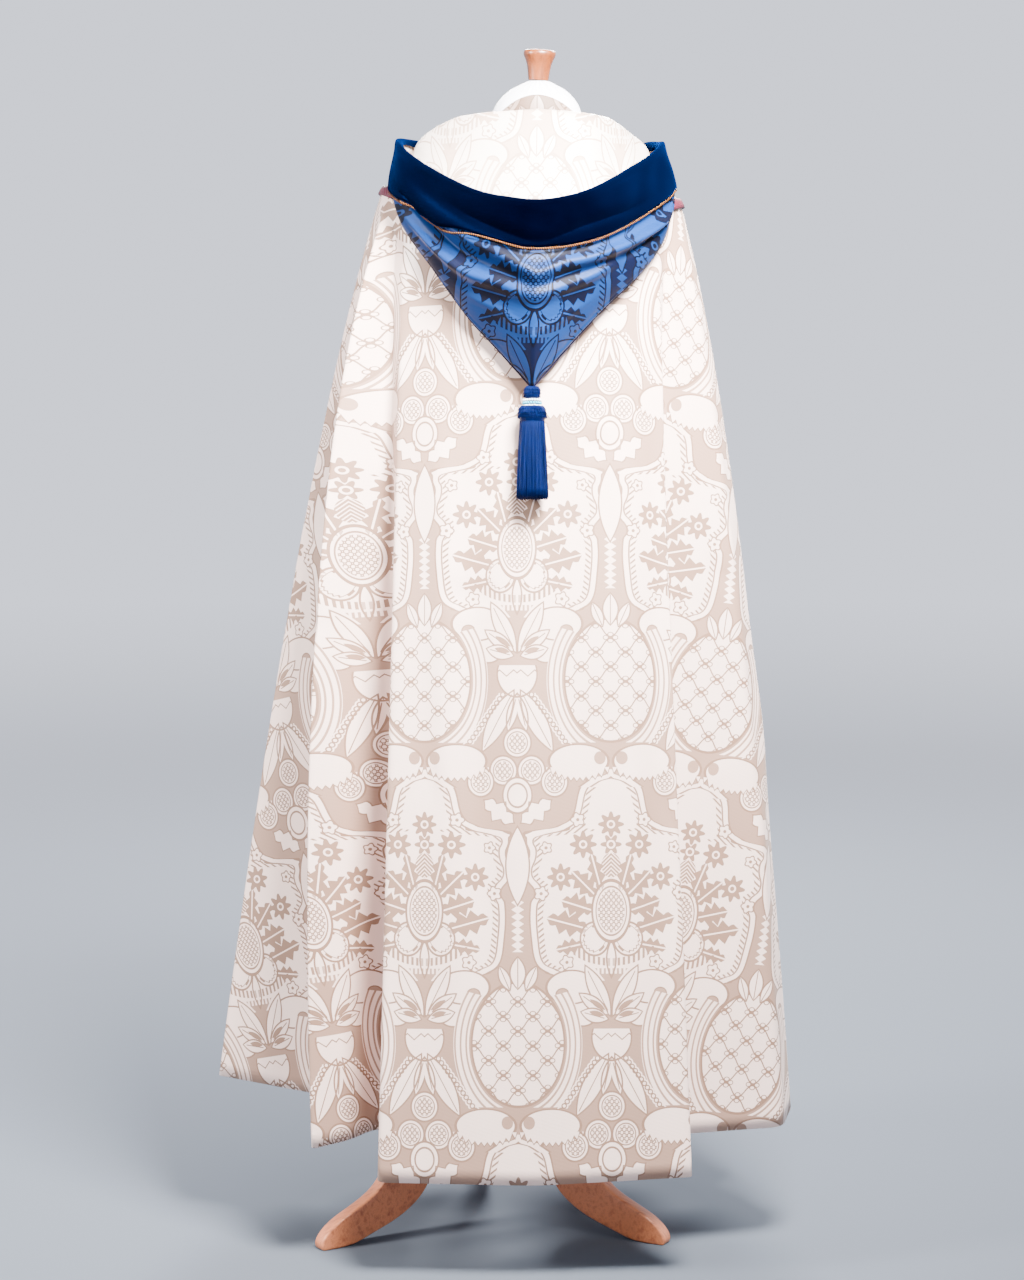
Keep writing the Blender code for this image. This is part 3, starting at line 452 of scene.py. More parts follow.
# Creases left by folding and by the hang, on the flat cloth: u from the centre back, v up from the hem.
CREASE_FADE = 0.7
Crease = namedtuple("Crease", "from_u from_v to_u to_v depth half_width")
CREASES = (
    Crease(-0.118, 0.772, -0.086, 0.748, -0.0045, 0.007),
    Crease(-0.086, 0.748, -0.050, 0.770, -0.0051, 0.007),
    Crease(0.040, 0.712, 0.086, 0.716, -0.0024, 0.006),
    Crease(-0.090, 0.628, -0.058, 0.650, -0.0021, 0.006),
    Crease(0.052, 0.950, 0.104, 0.962, -0.0039, 0.007),
    Crease(0.060, 0.985, 0.098, 0.975, 0.0027, 0.008),
    Crease(-0.128, 1.050, -0.108, 0.120, 0.0070, 0.018),
    Crease(-0.088, 0.940, -0.070, 0.260, -0.0058, 0.022),
    Crease(-0.035, 0.880, -0.020, 0.060, 0.0048, 0.028),
    Crease(0.046, 0.860, 0.062, 0.040, -0.0050, 0.026),
    Crease(0.118, 1.060, 0.130, 0.060, 0.0060, 0.020),
    Crease(0.160, 1.080, 0.168, 0.300, -0.0050, 0.018),
    Crease(-0.152, 0.560, -0.120, 0.470, -0.0027, 0.008),
    Crease(0.150, 0.520, 0.185, 0.450, -0.0027, 0.008),
    Crease(0.020, 0.190, 0.070, 0.175, -0.0015, 0.006),
    Crease(-0.060, 0.330, -0.010, 0.345, -0.0015, 0.006),
    Crease(-0.245, 0.930, -0.430, -0.500, -0.0220, 0.028),
    Crease(0.215, 0.930, 0.400, -0.500, -0.0100, 0.024),
    Crease(-0.420, 0.900, -0.440, 0.300, 0.0037, 0.020),
    Crease(0.420, 0.900, 0.450, 0.300, 0.0037, 0.020),
    Crease(-0.350, 0.760, -0.300, 0.720, -0.0033, 0.008),
    Crease(0.300, 0.820, 0.350, 0.790, -0.0033, 0.008),
    Crease(0.330, 0.560, 0.380, 0.590, -0.0027, 0.008),
    Crease(-0.300, 0.420, -0.350, 0.390, -0.0027, 0.008),
    Crease(-0.760, 1.000, -0.900, 0.560, 0.0037, 0.020),
    Crease(0.760, 1.000, 0.900, 0.560, 0.0037, 0.020),
    Crease(-0.900, 0.900, -0.980, 0.860, -0.0033, 0.009),
    Crease(0.900, 0.900, 0.980, 0.860, -0.0033, 0.009),
    Crease(-1.050, 1.250, -1.180, 1.100, -0.0025, 0.012),
    Crease(1.050, 1.250, 1.180, 1.100, -0.0025, 0.012),
)


def unit(vector):
    return vector / np.linalg.norm(vector)


def ease(back, side, front, degrees):
    """A value that runs from the back over the side to the front of a ring."""
    cosine = math.cos(math.radians(degrees))
    return side + (back - side if cosine > 0 else front - side) * cosine * cosine


def step_lengths(grid, axis):
    """The distances between neighbouring points, along one axis of a grid or a line."""
    return np.linalg.norm(np.diff(grid, axis=axis), axis=-1)


def cell_areas(grid):
    return np.linalg.norm(np.cross(np.diff(grid, axis=0)[:, :-1], np.diff(grid, axis=1)[:-1]), axis=2)


def normals_of(grid):
    """The way out of a grid of points: down its rows crossed with along its columns."""
    way = np.cross(np.gradient(grid, axis=1), np.gradient(grid, axis=0))
    return way / np.linalg.norm(way, axis=2, keepdims=True)


def straight_rows(start, end):
    steps = max(1, math.ceil(np.linalg.norm((end - start)[1:4]) / STRAIGHT_STEP))
    return [start + (end - start) * step / steps for step in range(1, steps + 1)]


def rounded_hem():
    """Rows of (deg, x, y, z, pull) along the hem, with each fold rounded."""
    corners = [np.array((f.deg, f.x, f.y, f.z, f.pull), float) for f in FOLDS]
    rows = [corners[0]]
    for fold, before, corner, after in zip(FOLDS[1:], corners, corners[1:], corners[2:]):
        length_in = np.linalg.norm((before - corner)[1:4])
        length_out = np.linalg.norm((after - corner)[1:4])
        reach = min(fold.round_m, ROUND_LIMIT * length_in, ROUND_LIMIT * length_out)
        start = corner + (before - corner) * reach / length_in
        end = corner + (after - corner) * reach / length_out
        rows.extend(straight_rows(rows[-1], start))
        for step in range(1, CORNER_STEPS + 1):
            f = step / CORNER_STEPS
            rows.append((1 - f) ** 2 * start + 2 * f * (1 - f) * corner + f * f * end)
    rows.extend(straight_rows(rows[-1], corners[-1]))
    return rows


def neck_point(degrees):
    sine, cosine = math.sin(math.radians(degrees)), math.cos(math.radians(degrees))
    reach = NECK_HALF_DEPTH + (NECK_FRONT_REACH if cosine < 0 else 0.0) * cosine * cosine
    return np.array((NECK_X + NECK_HALF_WIDTH * sine, -reach * cosine, ease(*NECK_Z, degrees)))


def ring_point(degrees):
    sine, cosine = math.sin(math.radians(degrees)), math.cos(math.radians(degrees))
    x = RING_HALF_WIDTH * math.copysign(abs(sine) ** (2 / RING_POWER), sine)
    y = RING_HALF_DEPTH * math.copysign(abs(cosine) ** (2 / RING_POWER), cosine)
    return np.array((RING_X + x, -y, ease(*RING_Z, degrees) - RING_RIGHT_DROP * max(0.0, sine) ** 2))


def column_points(row, yoke_rows, body_rows):
    """The cope's points down one column, from the neck seam to the hem, at these shares of yoke and body."""
    degrees, hem, pull = row[0], row[1:4], row[4]
    neck, ring = neck_point(degrees), ring_point(degrees)
    out = unit(np.array(((ring[0] - RING_X), ring[1], 0.0)))
    bow = ring + (hem - ring) * PULL_AT + out * pull
    over = ring - unit(bow - ring) * ease(*YOKE_ROUND, degrees)
    points = [(1 - f) ** 2 * neck + 2 * f * (1 - f) * over + f * f * ring for f in yoke_rows]
    return points + [(1 - f) ** 2 * ring + 2 * f * (1 - f) * bow + f * f * hem for f in body_rows[1:]]


def meeting(first, first_reach, second, second_reach, side):
    """The point this far from both, on the given side of the line between them."""
    line = second - first
    apart = np.linalg.norm(line)
    along = (first_reach**2 - second_reach**2 + apart**2) / (2 * apart)
    off = math.sqrt(max(first_reach**2 - along**2, 0.0))
    return first + line / apart * along + np.array((-line[1], line[0])) / apart * off * side


def flat_cut(grid, ring_row, centre):
    """Each point's place on the flat cloth: a column is a straight line, and neighbouring columns keep their
    distances at the ring and at the hem. The centre column is u = 0, upright, with v = 0 at its hem."""
    run = np.concatenate((np.zeros((len(grid), 1)), np.cumsum(step_lengths(grid, 1), axis=1)), axis=1)
    tops, hems = grid[:, ring_row], grid[:, -1]
    reach = run[:, -1] - run[:, ring_row]
    chord = np.linalg.norm(tops - hems, axis=1)
    flat_top, flat_hem = np.zeros((len(grid), 2)), np.zeros((len(grid), 2))
    flat_top[centre] = (0.0, reach[centre])
    for way in (1, -1):
        i = centre
        while 0 <= i + way < len(grid):
            j = i + way
            across = np.linalg.norm(tops[i] - hems[j]) * reach[i] / chord[i]
            flat_hem[j] = meeting(flat_top[i], across, flat_hem[i], np.linalg.norm(hems[i] - hems[j]), way)
            flat_top[j] = meeting(flat_top[i], np.linalg.norm(tops[i] - tops[j]), flat_hem[j], reach[j], way)
            i = j
    up = flat_top - flat_hem
    up /= np.linalg.norm(up, axis=1, keepdims=True)
    return flat_hem[:, None] + up[:, None] * (run[:, -1:] - run)[:, :, None]


def creased(grid, flat, creases):
    """The grid with each crease pressed in or out along the cloth's own normal."""
    height = np.zeros(grid.shape[:2])
    for crease in creases:
        start = np.array((crease.from_u, crease.from_v))
        line = np.array((crease.to_u, crease.to_v)) - start
        length = np.linalg.norm(line)
        from_start = flat - start
        along = np.clip(from_start @ line / length**2, 0.0, 1.0)
        off = np.linalg.norm(from_start - along[:, :, None] * line, axis=2)
        height += crease.depth * np.sin(math.pi * along) ** CREASE_FADE * np.exp(-((off / crease.half_width) ** 2))
    return grid + normals_of(grid) * height[:, :, None]


def add_cloth(name, grid, flat, wall, keep=None, flip=False):
    """A wall of cloth whose middle is the grid, with its place on the flat cloth as its UV map."""
    high, wide = grid.shape[:2]
    faces = []
    for i in range(high - 1):
        for j in range(wide - 1):
            if keep is None or keep[i, j]:
                k = i * wide + j
                face = (k, k + 1, k + wide + 1, k + wide)
                faces.append(face[::-1] if flip else face)
    piece = new_mesh(name, grid.reshape(-1, 3), faces)
    layer = piece.data.uv_layers.new(name="cloth")
    corners = np.zeros(len(piece.data.loops), int)
    piece.data.loops.foreach_get("vertex_index", corners)
    layer.data.foreach_set("uv", flat.reshape(-1, 2)[corners].astype(np.float32).ravel())
    loose = bmesh.new()
    loose.from_mesh(piece.data)
    bmesh.ops.delete(loose, geom=[v for v in loose.verts if not v.link_faces], context="VERTS")
    loose.to_mesh(piece.data)
    loose.free()
    thick = piece.modifiers.new("wall", "SOLIDIFY")
    thick.thickness = wall
    thick.offset = 0.0
    apply_all(piece)
    return piece


def cut_size(grid, flat, keep=None):
    """The smallest rectangle that the flat cut fits in, at any turn, and the cut's own area."""
    cells = cell_areas(grid)
    keep = np.ones(cells.shape, bool) if keep is None else keep
    cells = cells * keep
    spots = np.concatenate((flat[:-1, :-1][keep], flat[1:, 1:][keep]))
    sizes = []
    for turn in np.radians(np.arange(0, 90, 3)):
        turned_spots = spots @ np.array(((math.cos(turn), -math.sin(turn)), (math.sin(turn), math.cos(turn))))
        sizes.append(np.ptp(turned_spots, axis=0))
    size = min(sizes, key=lambda s: s[0] * s[1])
    return (float(size[0]), float(size[1])), float(min(cells.sum(), size[0] * size[1]))


yoke_rows = [k / YOKE_STEPS for k in range(YOKE_STEPS + 1)]
body_rows = [k / BODY_STEPS for k in range(BODY_STEPS + 1)]
hem = rounded_hem()
degrees = np.array([row[0] for row in hem])
plain_drape = np.array([column_points(row, yoke_rows, body_rows) for row in hem])
cope_flat = flat_cut(plain_drape, YOKE_STEPS, int(np.argmin(abs(degrees))))
drape = creased(plain_drape, cope_flat, CREASES)
outwards = normals_of(drape)
left_seam = int(np.argmin(abs(degrees + SEAM_DEG)))
right_seam = int(np.argmin(abs(degrees - SEAM_DEG)))


def pulled_in(grid, first, last):
    """The grid with an end column moved in by half a gap where it is seamed to another piece."""
    moved = grid.copy()
    for end, inner, use in ((0, 1, first), (-1, -2, last)):
        if use:
            step = grid[inner] - grid[end]
            moved[end] += step / np.linalg.norm(step, axis=1, keepdims=True) * GAP / 2
    return moved


# The damask: one old pomegranate pattern, woven as bright satin on dull twill. It is half of a half-drop
# repeat: p is the way across from the nearest bouquet's axis, q from the next axis, and z the way up.
HALF_WIDE = 0.1215
HALF_HIGH = 0.470
TILE_LOW = -0.308
# How wide the bouquet's field is at each height: its edge is the scrolling ribbon.
FIELD = (
    (-0.308, 0.0875), (-0.296, 0.1060), (-0.288, 0.1210), (-0.276, 0.0900), (-0.258, 0.0640), (-0.235, 0.0520),
    (-0.200, 0.0480), (-0.165, 0.0500), (-0.140, 0.0560), (-0.110, 0.0560), (-0.086, 0.0600), (-0.074, 0.0800),
    (-0.060, 0.0955), (-0.038, 0.0995), (0.010, 0.1010), (0.026, 0.0955), (0.052, 0.1080), (0.078, 0.1020),
    (0.094, 0.1060), (0.104, 0.0900), (0.112, 0.0600), (0.128, 0.0440), (0.156, 0.0370), (0.162, 0.0340),
)
RIBBON = 0.0042
LINE = 0.0011


class Pattern(Finish):
    """The damask's drawing, as a node group of u and v that gives its bright part and its fine lines."""

    def __init__(self, name):
        self.tree = bpy.data.node_groups.new(name, "ShaderNodeTree")
        for way, sockets in (("INPUT", ("u", "v")), ("OUTPUT", ("bright", "line"))):
            for socket in sockets:
                self.tree.interface.new_socket(socket, in_out=way, socket_type="NodeSocketFloat")
        entry = self.tree.nodes.new("NodeGroupInput")
        self.leave = self.tree.nodes.new("NodeGroupOutput")
        self.u, self.v = Value(self, entry.outputs[0]), Value(self, entry.outputs[1])
        self.bright = self.line = None

    def oval(self, x, y, at, radii):
        """How deep inside an oval the place is, in metres."""
        across = x.math("MULTIPLY_ADD", 1 / radii[0], -at[0] / radii[0])
        up = y.math("MULTIPLY_ADD", 1 / radii[1], -at[1] / radii[1])
        reach = up.math("MULTIPLY_ADD", up, across * across).math("SQRT")
        return reach.math("MULTIPLY_ADD", -min(radii), min(radii))

    def leaf(self, x, y, foot, tip, width, teeth=0.0):
        """How deep inside a pointed leaf the place is, and its distance from the leaf's midrib."""
        way = np.array(tip) - foot
        length = float(np.linalg.norm(way))
        (dx, dy), (fx, fy) = way / length, foot
        up_leaf = y.math("MULTIPLY_ADD", dy / length, -(fx * dx + fy * dy) / length)
        along = x.math("MULTIPLY_ADD", dx / length, up_leaf)
        off = abs(x.math("MULTIPLY_ADD", -dy, y.math("MULTIPLY_ADD", dx, fx * dy - fy * dx)))
        fullness = along * (1 - along)
        if teeth:
            notch = along.math("PINGPONG", 0.5 / teeth)
            fullness = fullness * notch.math("MULTIPLY_ADD", 1.3 * teeth, 0.55)
        return fullness.math("MULTIPLY_ADD", 2 * width, off * -1), off

    def flower(self, x, y, at, radius, petals, depth):
        """How deep inside a flower seen from above the place is, and its distance from the middle."""
        dx, dy = x - at[0], y - at[1]
        reach = dy.math("MULTIPLY_ADD", dy, dx * dx).math("SQRT")
        turn = dy.math("ARCTAN2", dx) * petals
        edge = turn.math("COSINE").math("MULTIPLY_ADD", depth * radius, radius)
        return edge - reach, reach

    def outline(self, depth, width=LINE):
        return abs(depth) < width

    def add(self, *lines):
        for line in lines:
            self.line = self.line | line

    def lay(self, shape, *lines):
        """Lays a bright shape over what is drawn, and then its lines."""
        self.bright = self.bright | shape
        self.line = self.line & (1 - shape)
        self.add(*lines)


draw = Pattern("pomegranate_damask")
count = ((draw.v - TILE_LOW) / HALF_HIGH).math("FLOOR")
z = count.math("MULTIPLY_ADD", -HALF_HIGH, draw.v)
p = count.math("MULTIPLY_ADD", HALF_WIDE, draw.u + HALF_WIDE).math("PINGPONG", HALF_WIDE)
q = HALF_WIDE - p


def field_edge(height):
    """The bouquet field's width at this height, read off the curve."""
    points = [((h - TILE_LOW) / HALF_HIGH, wide / HALF_WIDE) for h, wide in FIELD]
    place = height.math("MULTIPLY_ADD", 1 / HALF_HIGH, -TILE_LOW / HALF_HIGH)
    return draw.node("ShaderNodeFloatCurve", {"points": points}, {"Value": place}) * HALF_WIDE


edge = field_edge(z)
slope = (field_edge(z + 0.003) - edge) / 0.003
from_edge = (p - edge) / slope.math("MULTIPLY_ADD", slope, 1.0).math("SQRT")
upper, lower = z > -0.088, z < -0.285
inside = ((from_edge < 0.0) & upper) | ((from_edge > 0.0) & lower)
has_ribbon = upper | lower

# The ribbon with its comb of teeth, and the bright field behind the bouquet.
comb = (z * 0.9 + p * 0.7).math("PINGPONG", 0.0034) > 0.0021
draw.bright = inside | (draw.outline(from_edge, RIBBON) & has_ribbon)
draw.line = draw.outline(abs(from_edge) - RIBBON, LINE) & has_ribbon
draw.add(draw.outline(from_edge + 0.0092, 0.0036) & comb & upper)

# The big curled leaves that carry the bouquet, with the hooks of ground between them.
curl = draw.oval(p, z, (0.0520, -0.0960), (0.0330, 0.0215))
lobe = draw.oval(p, z, (0.0370, -0.1250), (0.0210, 0.0215))
hook = draw.oval(p, z, (0.0640, -0.1050), (0.0085, 0.0075))
lobe_line = draw.outline(lobe) & (curl < 0.0)
draw.lay((curl > 0.0) | (lobe > 0.0), draw.outline(curl), lobe_line, draw.outline(hook, 0.0008))
draw.bright = draw.bright & (1 - (hook > 0.0))

# The bouquet: three pinks and two buds, lobed leaves, and an oval pomegranate in its calyx.
depth, reach = draw.flower(p, z, (0.0, 0.088), 0.0105, 6.0, 0.30)
dull = (depth > 0.0) & (abs(reach - 0.0045) > 0.0012)
for at, size in (((0.0, 0.114), 0.0135), ((0.036, 0.088), 0.0145), ((0.066, 0.046), 0.0145)):
    depth, reach = draw.flower(p, z, at, size, 8.0, 0.24)
    dull = dull | ((depth > 0.0) & (abs(reach - 0.0042) > 0.0012))
bud = draw.oval(p, z, (0.0, 0.061), (0.0125, 0.0160))
dull = dull | ((bud > 0.0) & ((p + z).math("PINGPONG", 0.0026) > 0.0009))
for foot, tip, width in (
    ((0.012, 0.026), (0.026, 0.078), 0.0190),
    ((0.018, 0.020), (0.052, 0.054), 0.0260),
    ((0.022, 0.002), (0.066, 0.016), 0.0290),
    ((0.028, -0.022), (0.086, -0.006), 0.0290),
    ((0.034, -0.040), (0.074, -0.048), 0.0190),
):
    depth, off = draw.leaf(p, z, foot, tip, width, 4.0)
    dull = dull | ((depth > 0.0) & (off > 0.0010))
pomegranate = draw.oval(p, z, (0.0, 0.002), (0.0245, 0.0395))
calyx = draw.oval(p, z, (0.0215, -0.0340), (0.0185, 0.0215))
cup = (calyx > 0.0) & (pomegranate < 0.0)
scallop = (z + p).math("PINGPONG", 0.0036)
fringe = draw.outline(draw.oval(p, z, (0.0, -0.0300), (0.0450, 0.0280)) + 0.0060, 0.0050)
dull = dull | (fringe & (z < -0.044) & (p.math("PINGPONG", 0.0032) > 0.0016))
stem_leaf, _ = draw.leaf(p, z, (0.0, -0.084), (0.0, -0.036), 0.0120)
draw.bright = (draw.bright & (1 - dull)) | (stem_leaf > 0.0)
draw.lay(
    cup,
    draw.outline(calyx, 0.0012) & (pomegranate < 0.0),
    draw.outline(calyx - scallop * 0.6 - 0.0034, 0.0008) & cup,
    draw.outline(stem_leaf),
)
rise, fall = (p * 1.25 + z).math("PINGPONG", 0.0080), (p * 1.25 - z).math("PINGPONG", 0.0080)
seeds = draw.outline(draw.oval(rise, fall, (0.0040, 0.0040), (0.0040, 0.0040)), 0.0010)
draw.lay(
    pomegranate > 0.0,
    draw.outline(pomegranate, 0.0014),
    draw.outline(pomegranate - 0.0050, 0.0008),
    seeds & (pomegranate > 0.0072),
)

# Under the field: the toothed triangle, the lily with its bowl, a dart and the seed pods.
corner = z.math("MULTIPLY_ADD", 0.80, 0.0800) - p
triangle = (corner > 0.0012) & ((z < -0.0790) | ((z < -0.0720) & (p.math("PINGPONG", 0.0028) > 0.0014)))
for foot, tip, width in (
    ((0.001, -0.134), (0.034, -0.068), 0.0215),
    ((0.004, -0.132), (0.042, -0.104), 0.0170),
    ((0.004, -0.138), (0.040, -0.128), 0.0180),
):
    depth, off = draw.leaf(p, z, foot, tip, width)
    draw.lay(depth > 0.0, draw.outline(depth), (off < 0.0007) & (depth > 0.0040))
for foot, tip in (((0.008, -0.126), (0.028, -0.112)), ((0.009, -0.133), (0.029, -0.128))):
    drop, _ = draw.leaf(p, z, foot, tip, 0.0072)
    dull = dull | (drop > 0.0)
draw.bright = draw.bright & (1 - triangle) & (1 - (dull & (z < -0.105)))
bowl = draw.oval(p, z, (0.0, -0.161), (0.0255, 0.0300))
in_bowl = (bowl > 0.0) & (z < -0.150)
lobes = draw.outline((z + 0.1560) + (p - 0.0045).math("PINGPONG", 0.0090) * 0.9, 0.0010) & in_bowl
draw.lay(in_bowl, draw.outline(bowl) & (z < -0.150), lobes)
for foot, tip, width in (((0.004, -0.182), (0.046, -0.262), 0.0250), ((0.000, -0.186), (0.012, -0.236), 0.0130)):
    depth, off = draw.leaf(p, z, foot, tip, width)
    draw.bright = draw.bright | (depth > 0.0)
    draw.add(draw.outline(depth), (off < 0.0007) & (depth > 0.0030))
for at, across in (((0.0, -0.250), p), ((0.0180, -0.2860), p), ((0.0480, -0.3010), p), ((0.0480, 0.1690), q)):
    pod = draw.oval(across, z, at, (0.0175, 0.0190))
    draw.lay(pod > 0.0, draw.outline(pod, 0.0012), draw.outline(pod - 0.0046, 0.0008), seeds & (pod > 0.0066))

# Round the pineapple: its scales, the long striped leaves, the toothed leaves and the tulips above.
pineapple = draw.oval(q, z, (0.0, -0.169), (0.0600, 0.0800))
slant = ((q - z) * (2 * math.pi / 0.0380)).math("SINE") * -0.0014
counter = ((q + z) * (2 * math.pi / 0.0380)).math("SINE") * -0.0014
rise = (q + z + slant).math("PINGPONG", 0.0190)
fall = (q - z + counter).math("PINGPONG", 0.0190)
knot = draw.oval(rise, fall, (0.0050, 0.0050), (0.0042, 0.0042))
scales = ((rise.math("MINIMUM", fall) < 0.0013) & (knot < 0.0)) | draw.outline(knot, 0.0009)
draw.lay(pineapple > 0.0, draw.outline(pineapple, 0.0013), scales & (pineapple > 0.0))
beside = (pineapple < -0.0036) & (pineapple > -0.0235) & (z < -0.118 + q * 0.25) & (z > -0.250)
stripes = pineapple.math("PINGPONG", 0.0036) > 0.0012
draw.bright = (draw.bright & (1 - beside)) | (beside & stripes)
draw.line = draw.line & (1 - beside)
big = draw.oval(q, z, (0.0420, -0.2740), (0.0390, 0.0215))
notched = big + q.math("PINGPONG", 0.0040) * 1.3 * (z < -0.282)
curled = draw.oval(q, z, (0.0140, -0.2700), (0.0075, 0.0085))
draw.bright = draw.bright & (1 - (curled > 0.0))
draw.lay((notched > 0.0) & (curled < 0.0), draw.outline(notched, 0.0010))
for foot, tip, width in (((0.0, -0.098), (0.0, -0.056), 0.0200), ((0.010, -0.100), (0.024, -0.068), 0.0140)):
    tulip, off = draw.leaf(q, z, foot, tip, width)
    draw.lay(tulip > 0.0, draw.outline(tulip), (off < 0.0007) & (tulip > 0.0014))

# Between the ribbons: a comb-leaved stem, a crown flower, and the small rosettes that tie the ribbon.
stem = q < (z.math("PINGPONG", 0.0046) * 1.5 + 0.0010)
draw.bright = draw.bright | (stem & (z > -0.050) & (z < 0.022))
vase, _ = draw.leaf(q, z, (0.0, 0.010), (0.0, 0.112), 0.0300)
draw.lay(vase > 0.0, draw.outline(vase))
for across, low in ((q, 0.0), (p, -0.470)):
    head = draw.oval(across, z, (0.0, 0.152 + low), (0.0185, 0.0230))
    arm, _ = draw.leaf(across, z, (0.004, 0.116 + low), (0.044, 0.146 + low), 0.0260, 3.0)
    draw.bright = draw.bright | (arm > 0.0)
    draw.lay(head > 0.0, draw.outline(arm), draw.outline(head), draw.outline(head - 0.0062))
along, off = q * -0.586 - z * 0.810, abs(q * 0.810 - z * 0.586 - 0.1937)
bead = along.math("PINGPONG", 0.0068) - 0.0034
link = off.math("MULTIPLY_ADD", off, bead * bead)
chained = (z < -0.186) & (z > -0.252) & (off < 0.0060)
draw.bright = draw.bright | (chained & (link < 0.000030))
draw.add(chained & (abs(link - 0.000009) < 0.000005))
for across, at, radius in (
    (q, (0.0300, 0.0250), 0.0082),
    (p, (0.0580, -0.0640), 0.0082),
    (p, (0.0430, 0.1200), 0.0082),
    (p, (0.0850, 0.0840), 0.0070),
):
    depth, reach = draw.flower(across, z, at, radius, 5.0, 0.16)
    draw.lay(depth > 0.0, draw.outline(depth, 0.0010), reach < 0.0022)
draw.feed(draw.leave.inputs[0], draw.bright)
draw.feed(draw.leave.inputs[1], draw.line | (dull * 0.75))


def damask(name, phase, satin, twill, outline, rough, depth=0.00035, gloss=0.5):
    """Silk damask: satin figure, dull ground and fine lines between, with the weave's ribs and slight soiling.
    phase is how far the pattern is moved on the flat cloth; rough is the satin's and the twill's."""
    finish = Finish(name)
    spot = finish.node("ShaderNodeUVMap", {"uv_map": "cloth"})
    u = finish.node("ShaderNodeSeparateXYZ", {}, (spot,), 0) + phase[0]
    v = finish.node("ShaderNodeSeparateXYZ", {}, (spot,), 1) + phase[1]
    drawing = finish.tree.nodes.new("ShaderNodeGroup")
    drawing.node_tree = draw.tree
    finish.feed(drawing.inputs[0], u)
    finish.feed(drawing.inputs[1], v)
    shine, fine = Value(finish, drawing.outputs[0]), Value(finish, drawing.outputs[1])
    figure = shine & (1 - fine)
    cloudy = finish.noise(spot, 9.0, 3.0)
    threads = finish.node("ShaderNodeMapping", {}, {"Vector": spot, "Scale": (900.0, 60.0, 1.0)})
    slub = finish.noise(threads, 1.0, 2.0)
    rib = (v * 1250.0 + u * 420.0).math("SINE")
    ground = finish.mix(fine, twill, outline)
    colour = finish.mix(figure, ground, satin)
    colour = finish.mix(cloudy * 0.22, colour, tuple(0.86 * c for c in twill))
    return finish.set(
        Base_Color=colour,
        Roughness=figure * (rough[0] - rough[1]) + slub * 0.10 + (rough[1] - 0.05),
        Sheen_Weight=0.3 * gloss,
        Sheen_Roughness=0.4,
        Specular_IOR_Level=gloss,
        Normal=finish.bump(rib * 0.10 + slub * 0.35, depth, 0.55),
    )


ivory_colours = ((0.86, 0.650, 0.575), (0.300, 0.180, 0.128), (0.200, 0.108, 0.068))
ivory = damask("ivory_damask_silk", (0.026, -0.350), *ivory_colours, (0.34, 0.62))
for name, part, ends in (
    ("cope_left", slice(None, left_seam + 1), (False, True)),
    ("cope_back", slice(left_seam, right_seam + 1), (True, True)),
    ("cope_right", slice(right_seam, None), (True, False)),
):
    cloth = add_cloth(f"{name}_width", pulled_in(drape[part], *ends), cope_flat[part], COPE_WALL)
    flat, area = cut_size(drape[part], cope_flat[part])
    finish_piece(cloth, ivory, "ivory_damask", name)

# The neckband: a short standing band of the same damask, seamed to the neck and open at the front.
NECKBAND_HEIGHT = (0.040, 0.024, 0.022)
NECKBAND_LEAN = 0.002
NECKBAND_BOW = 0.0012
NECKBAND_DEG = 177.0
NECKBAND_COLUMNS = 120
NECKBAND_ROWS = 12

band_grid, band_flat, run = [], [], 0.0
shares = [k / NECKBAND_ROWS for k in range(NECKBAND_ROWS + 1)]
for degree in np.linspace(-NECKBAND_DEG, NECKBAND_DEG, NECKBAND_COLUMNS + 1):
    seam = neck_point(degree)
    inward = unit(np.array((NECK_X, 0.0, seam[2])) - seam)
    base = seam + (inward + (0.0, 0.0, 1.0)) * (COPE_WALL / 2 + GAP)
    height = ease(*NECKBAND_HEIGHT, degree)
    lean = NECKBAND_LEAN * (1.0 + 0.25 * math.sin(math.radians(7 * degree)))
    column = [
        base + (0.0, 0.0, height * f) + inward * (lean * f - NECKBAND_BOW * math.sin(math.pi * f)) for f in shares
    ]
    run += np.linalg.norm(column[0] - band_grid[-1][0]) if band_grid else 0.0
    band_grid.append(column)
    band_flat.append([(run, height * f) for f in shares])
band_grid, band_flat = np.array(band_grid), np.array(band_flat)
band_flat[:, :, 0] -= run / 2
neckband = add_cloth("standing_neckband", band_grid, band_flat, COPE_WALL, flip=True)
# Painted shade: the neckband's colours are the cope's ivory damask darkened to between a third and a half, because
# the band faces away from the light.
neckband_shaded_colours = ((0.26, 0.182, 0.150), (0.125, 0.073, 0.050), (0.095, 0.052, 0.032))
neckband_painted_shade = damask("ivory_neck_damask", (0.0, -0.098), *neckband_shaded_colours, (0.36, 0.62))
finish_piece(neckband, neckband_painted_shade, "ivory_damask", "neckband")
flat, area = cut_size(band_grid, band_flat)

# The orphreys: bands of blue damask laid on the two front edges and carried over the shoulders, with a
# burgundy braid stitched along their outer edge. The blue cloth is the hood's.
ORPHREY_WALL = 0.0020
BRAID_WALL = 0.0012
ORPHREY_DEG = 139
ORPHREY_BACK_DEG = 62
BRAID_COLUMNS = 3
SHOULDER_ROWS = 3

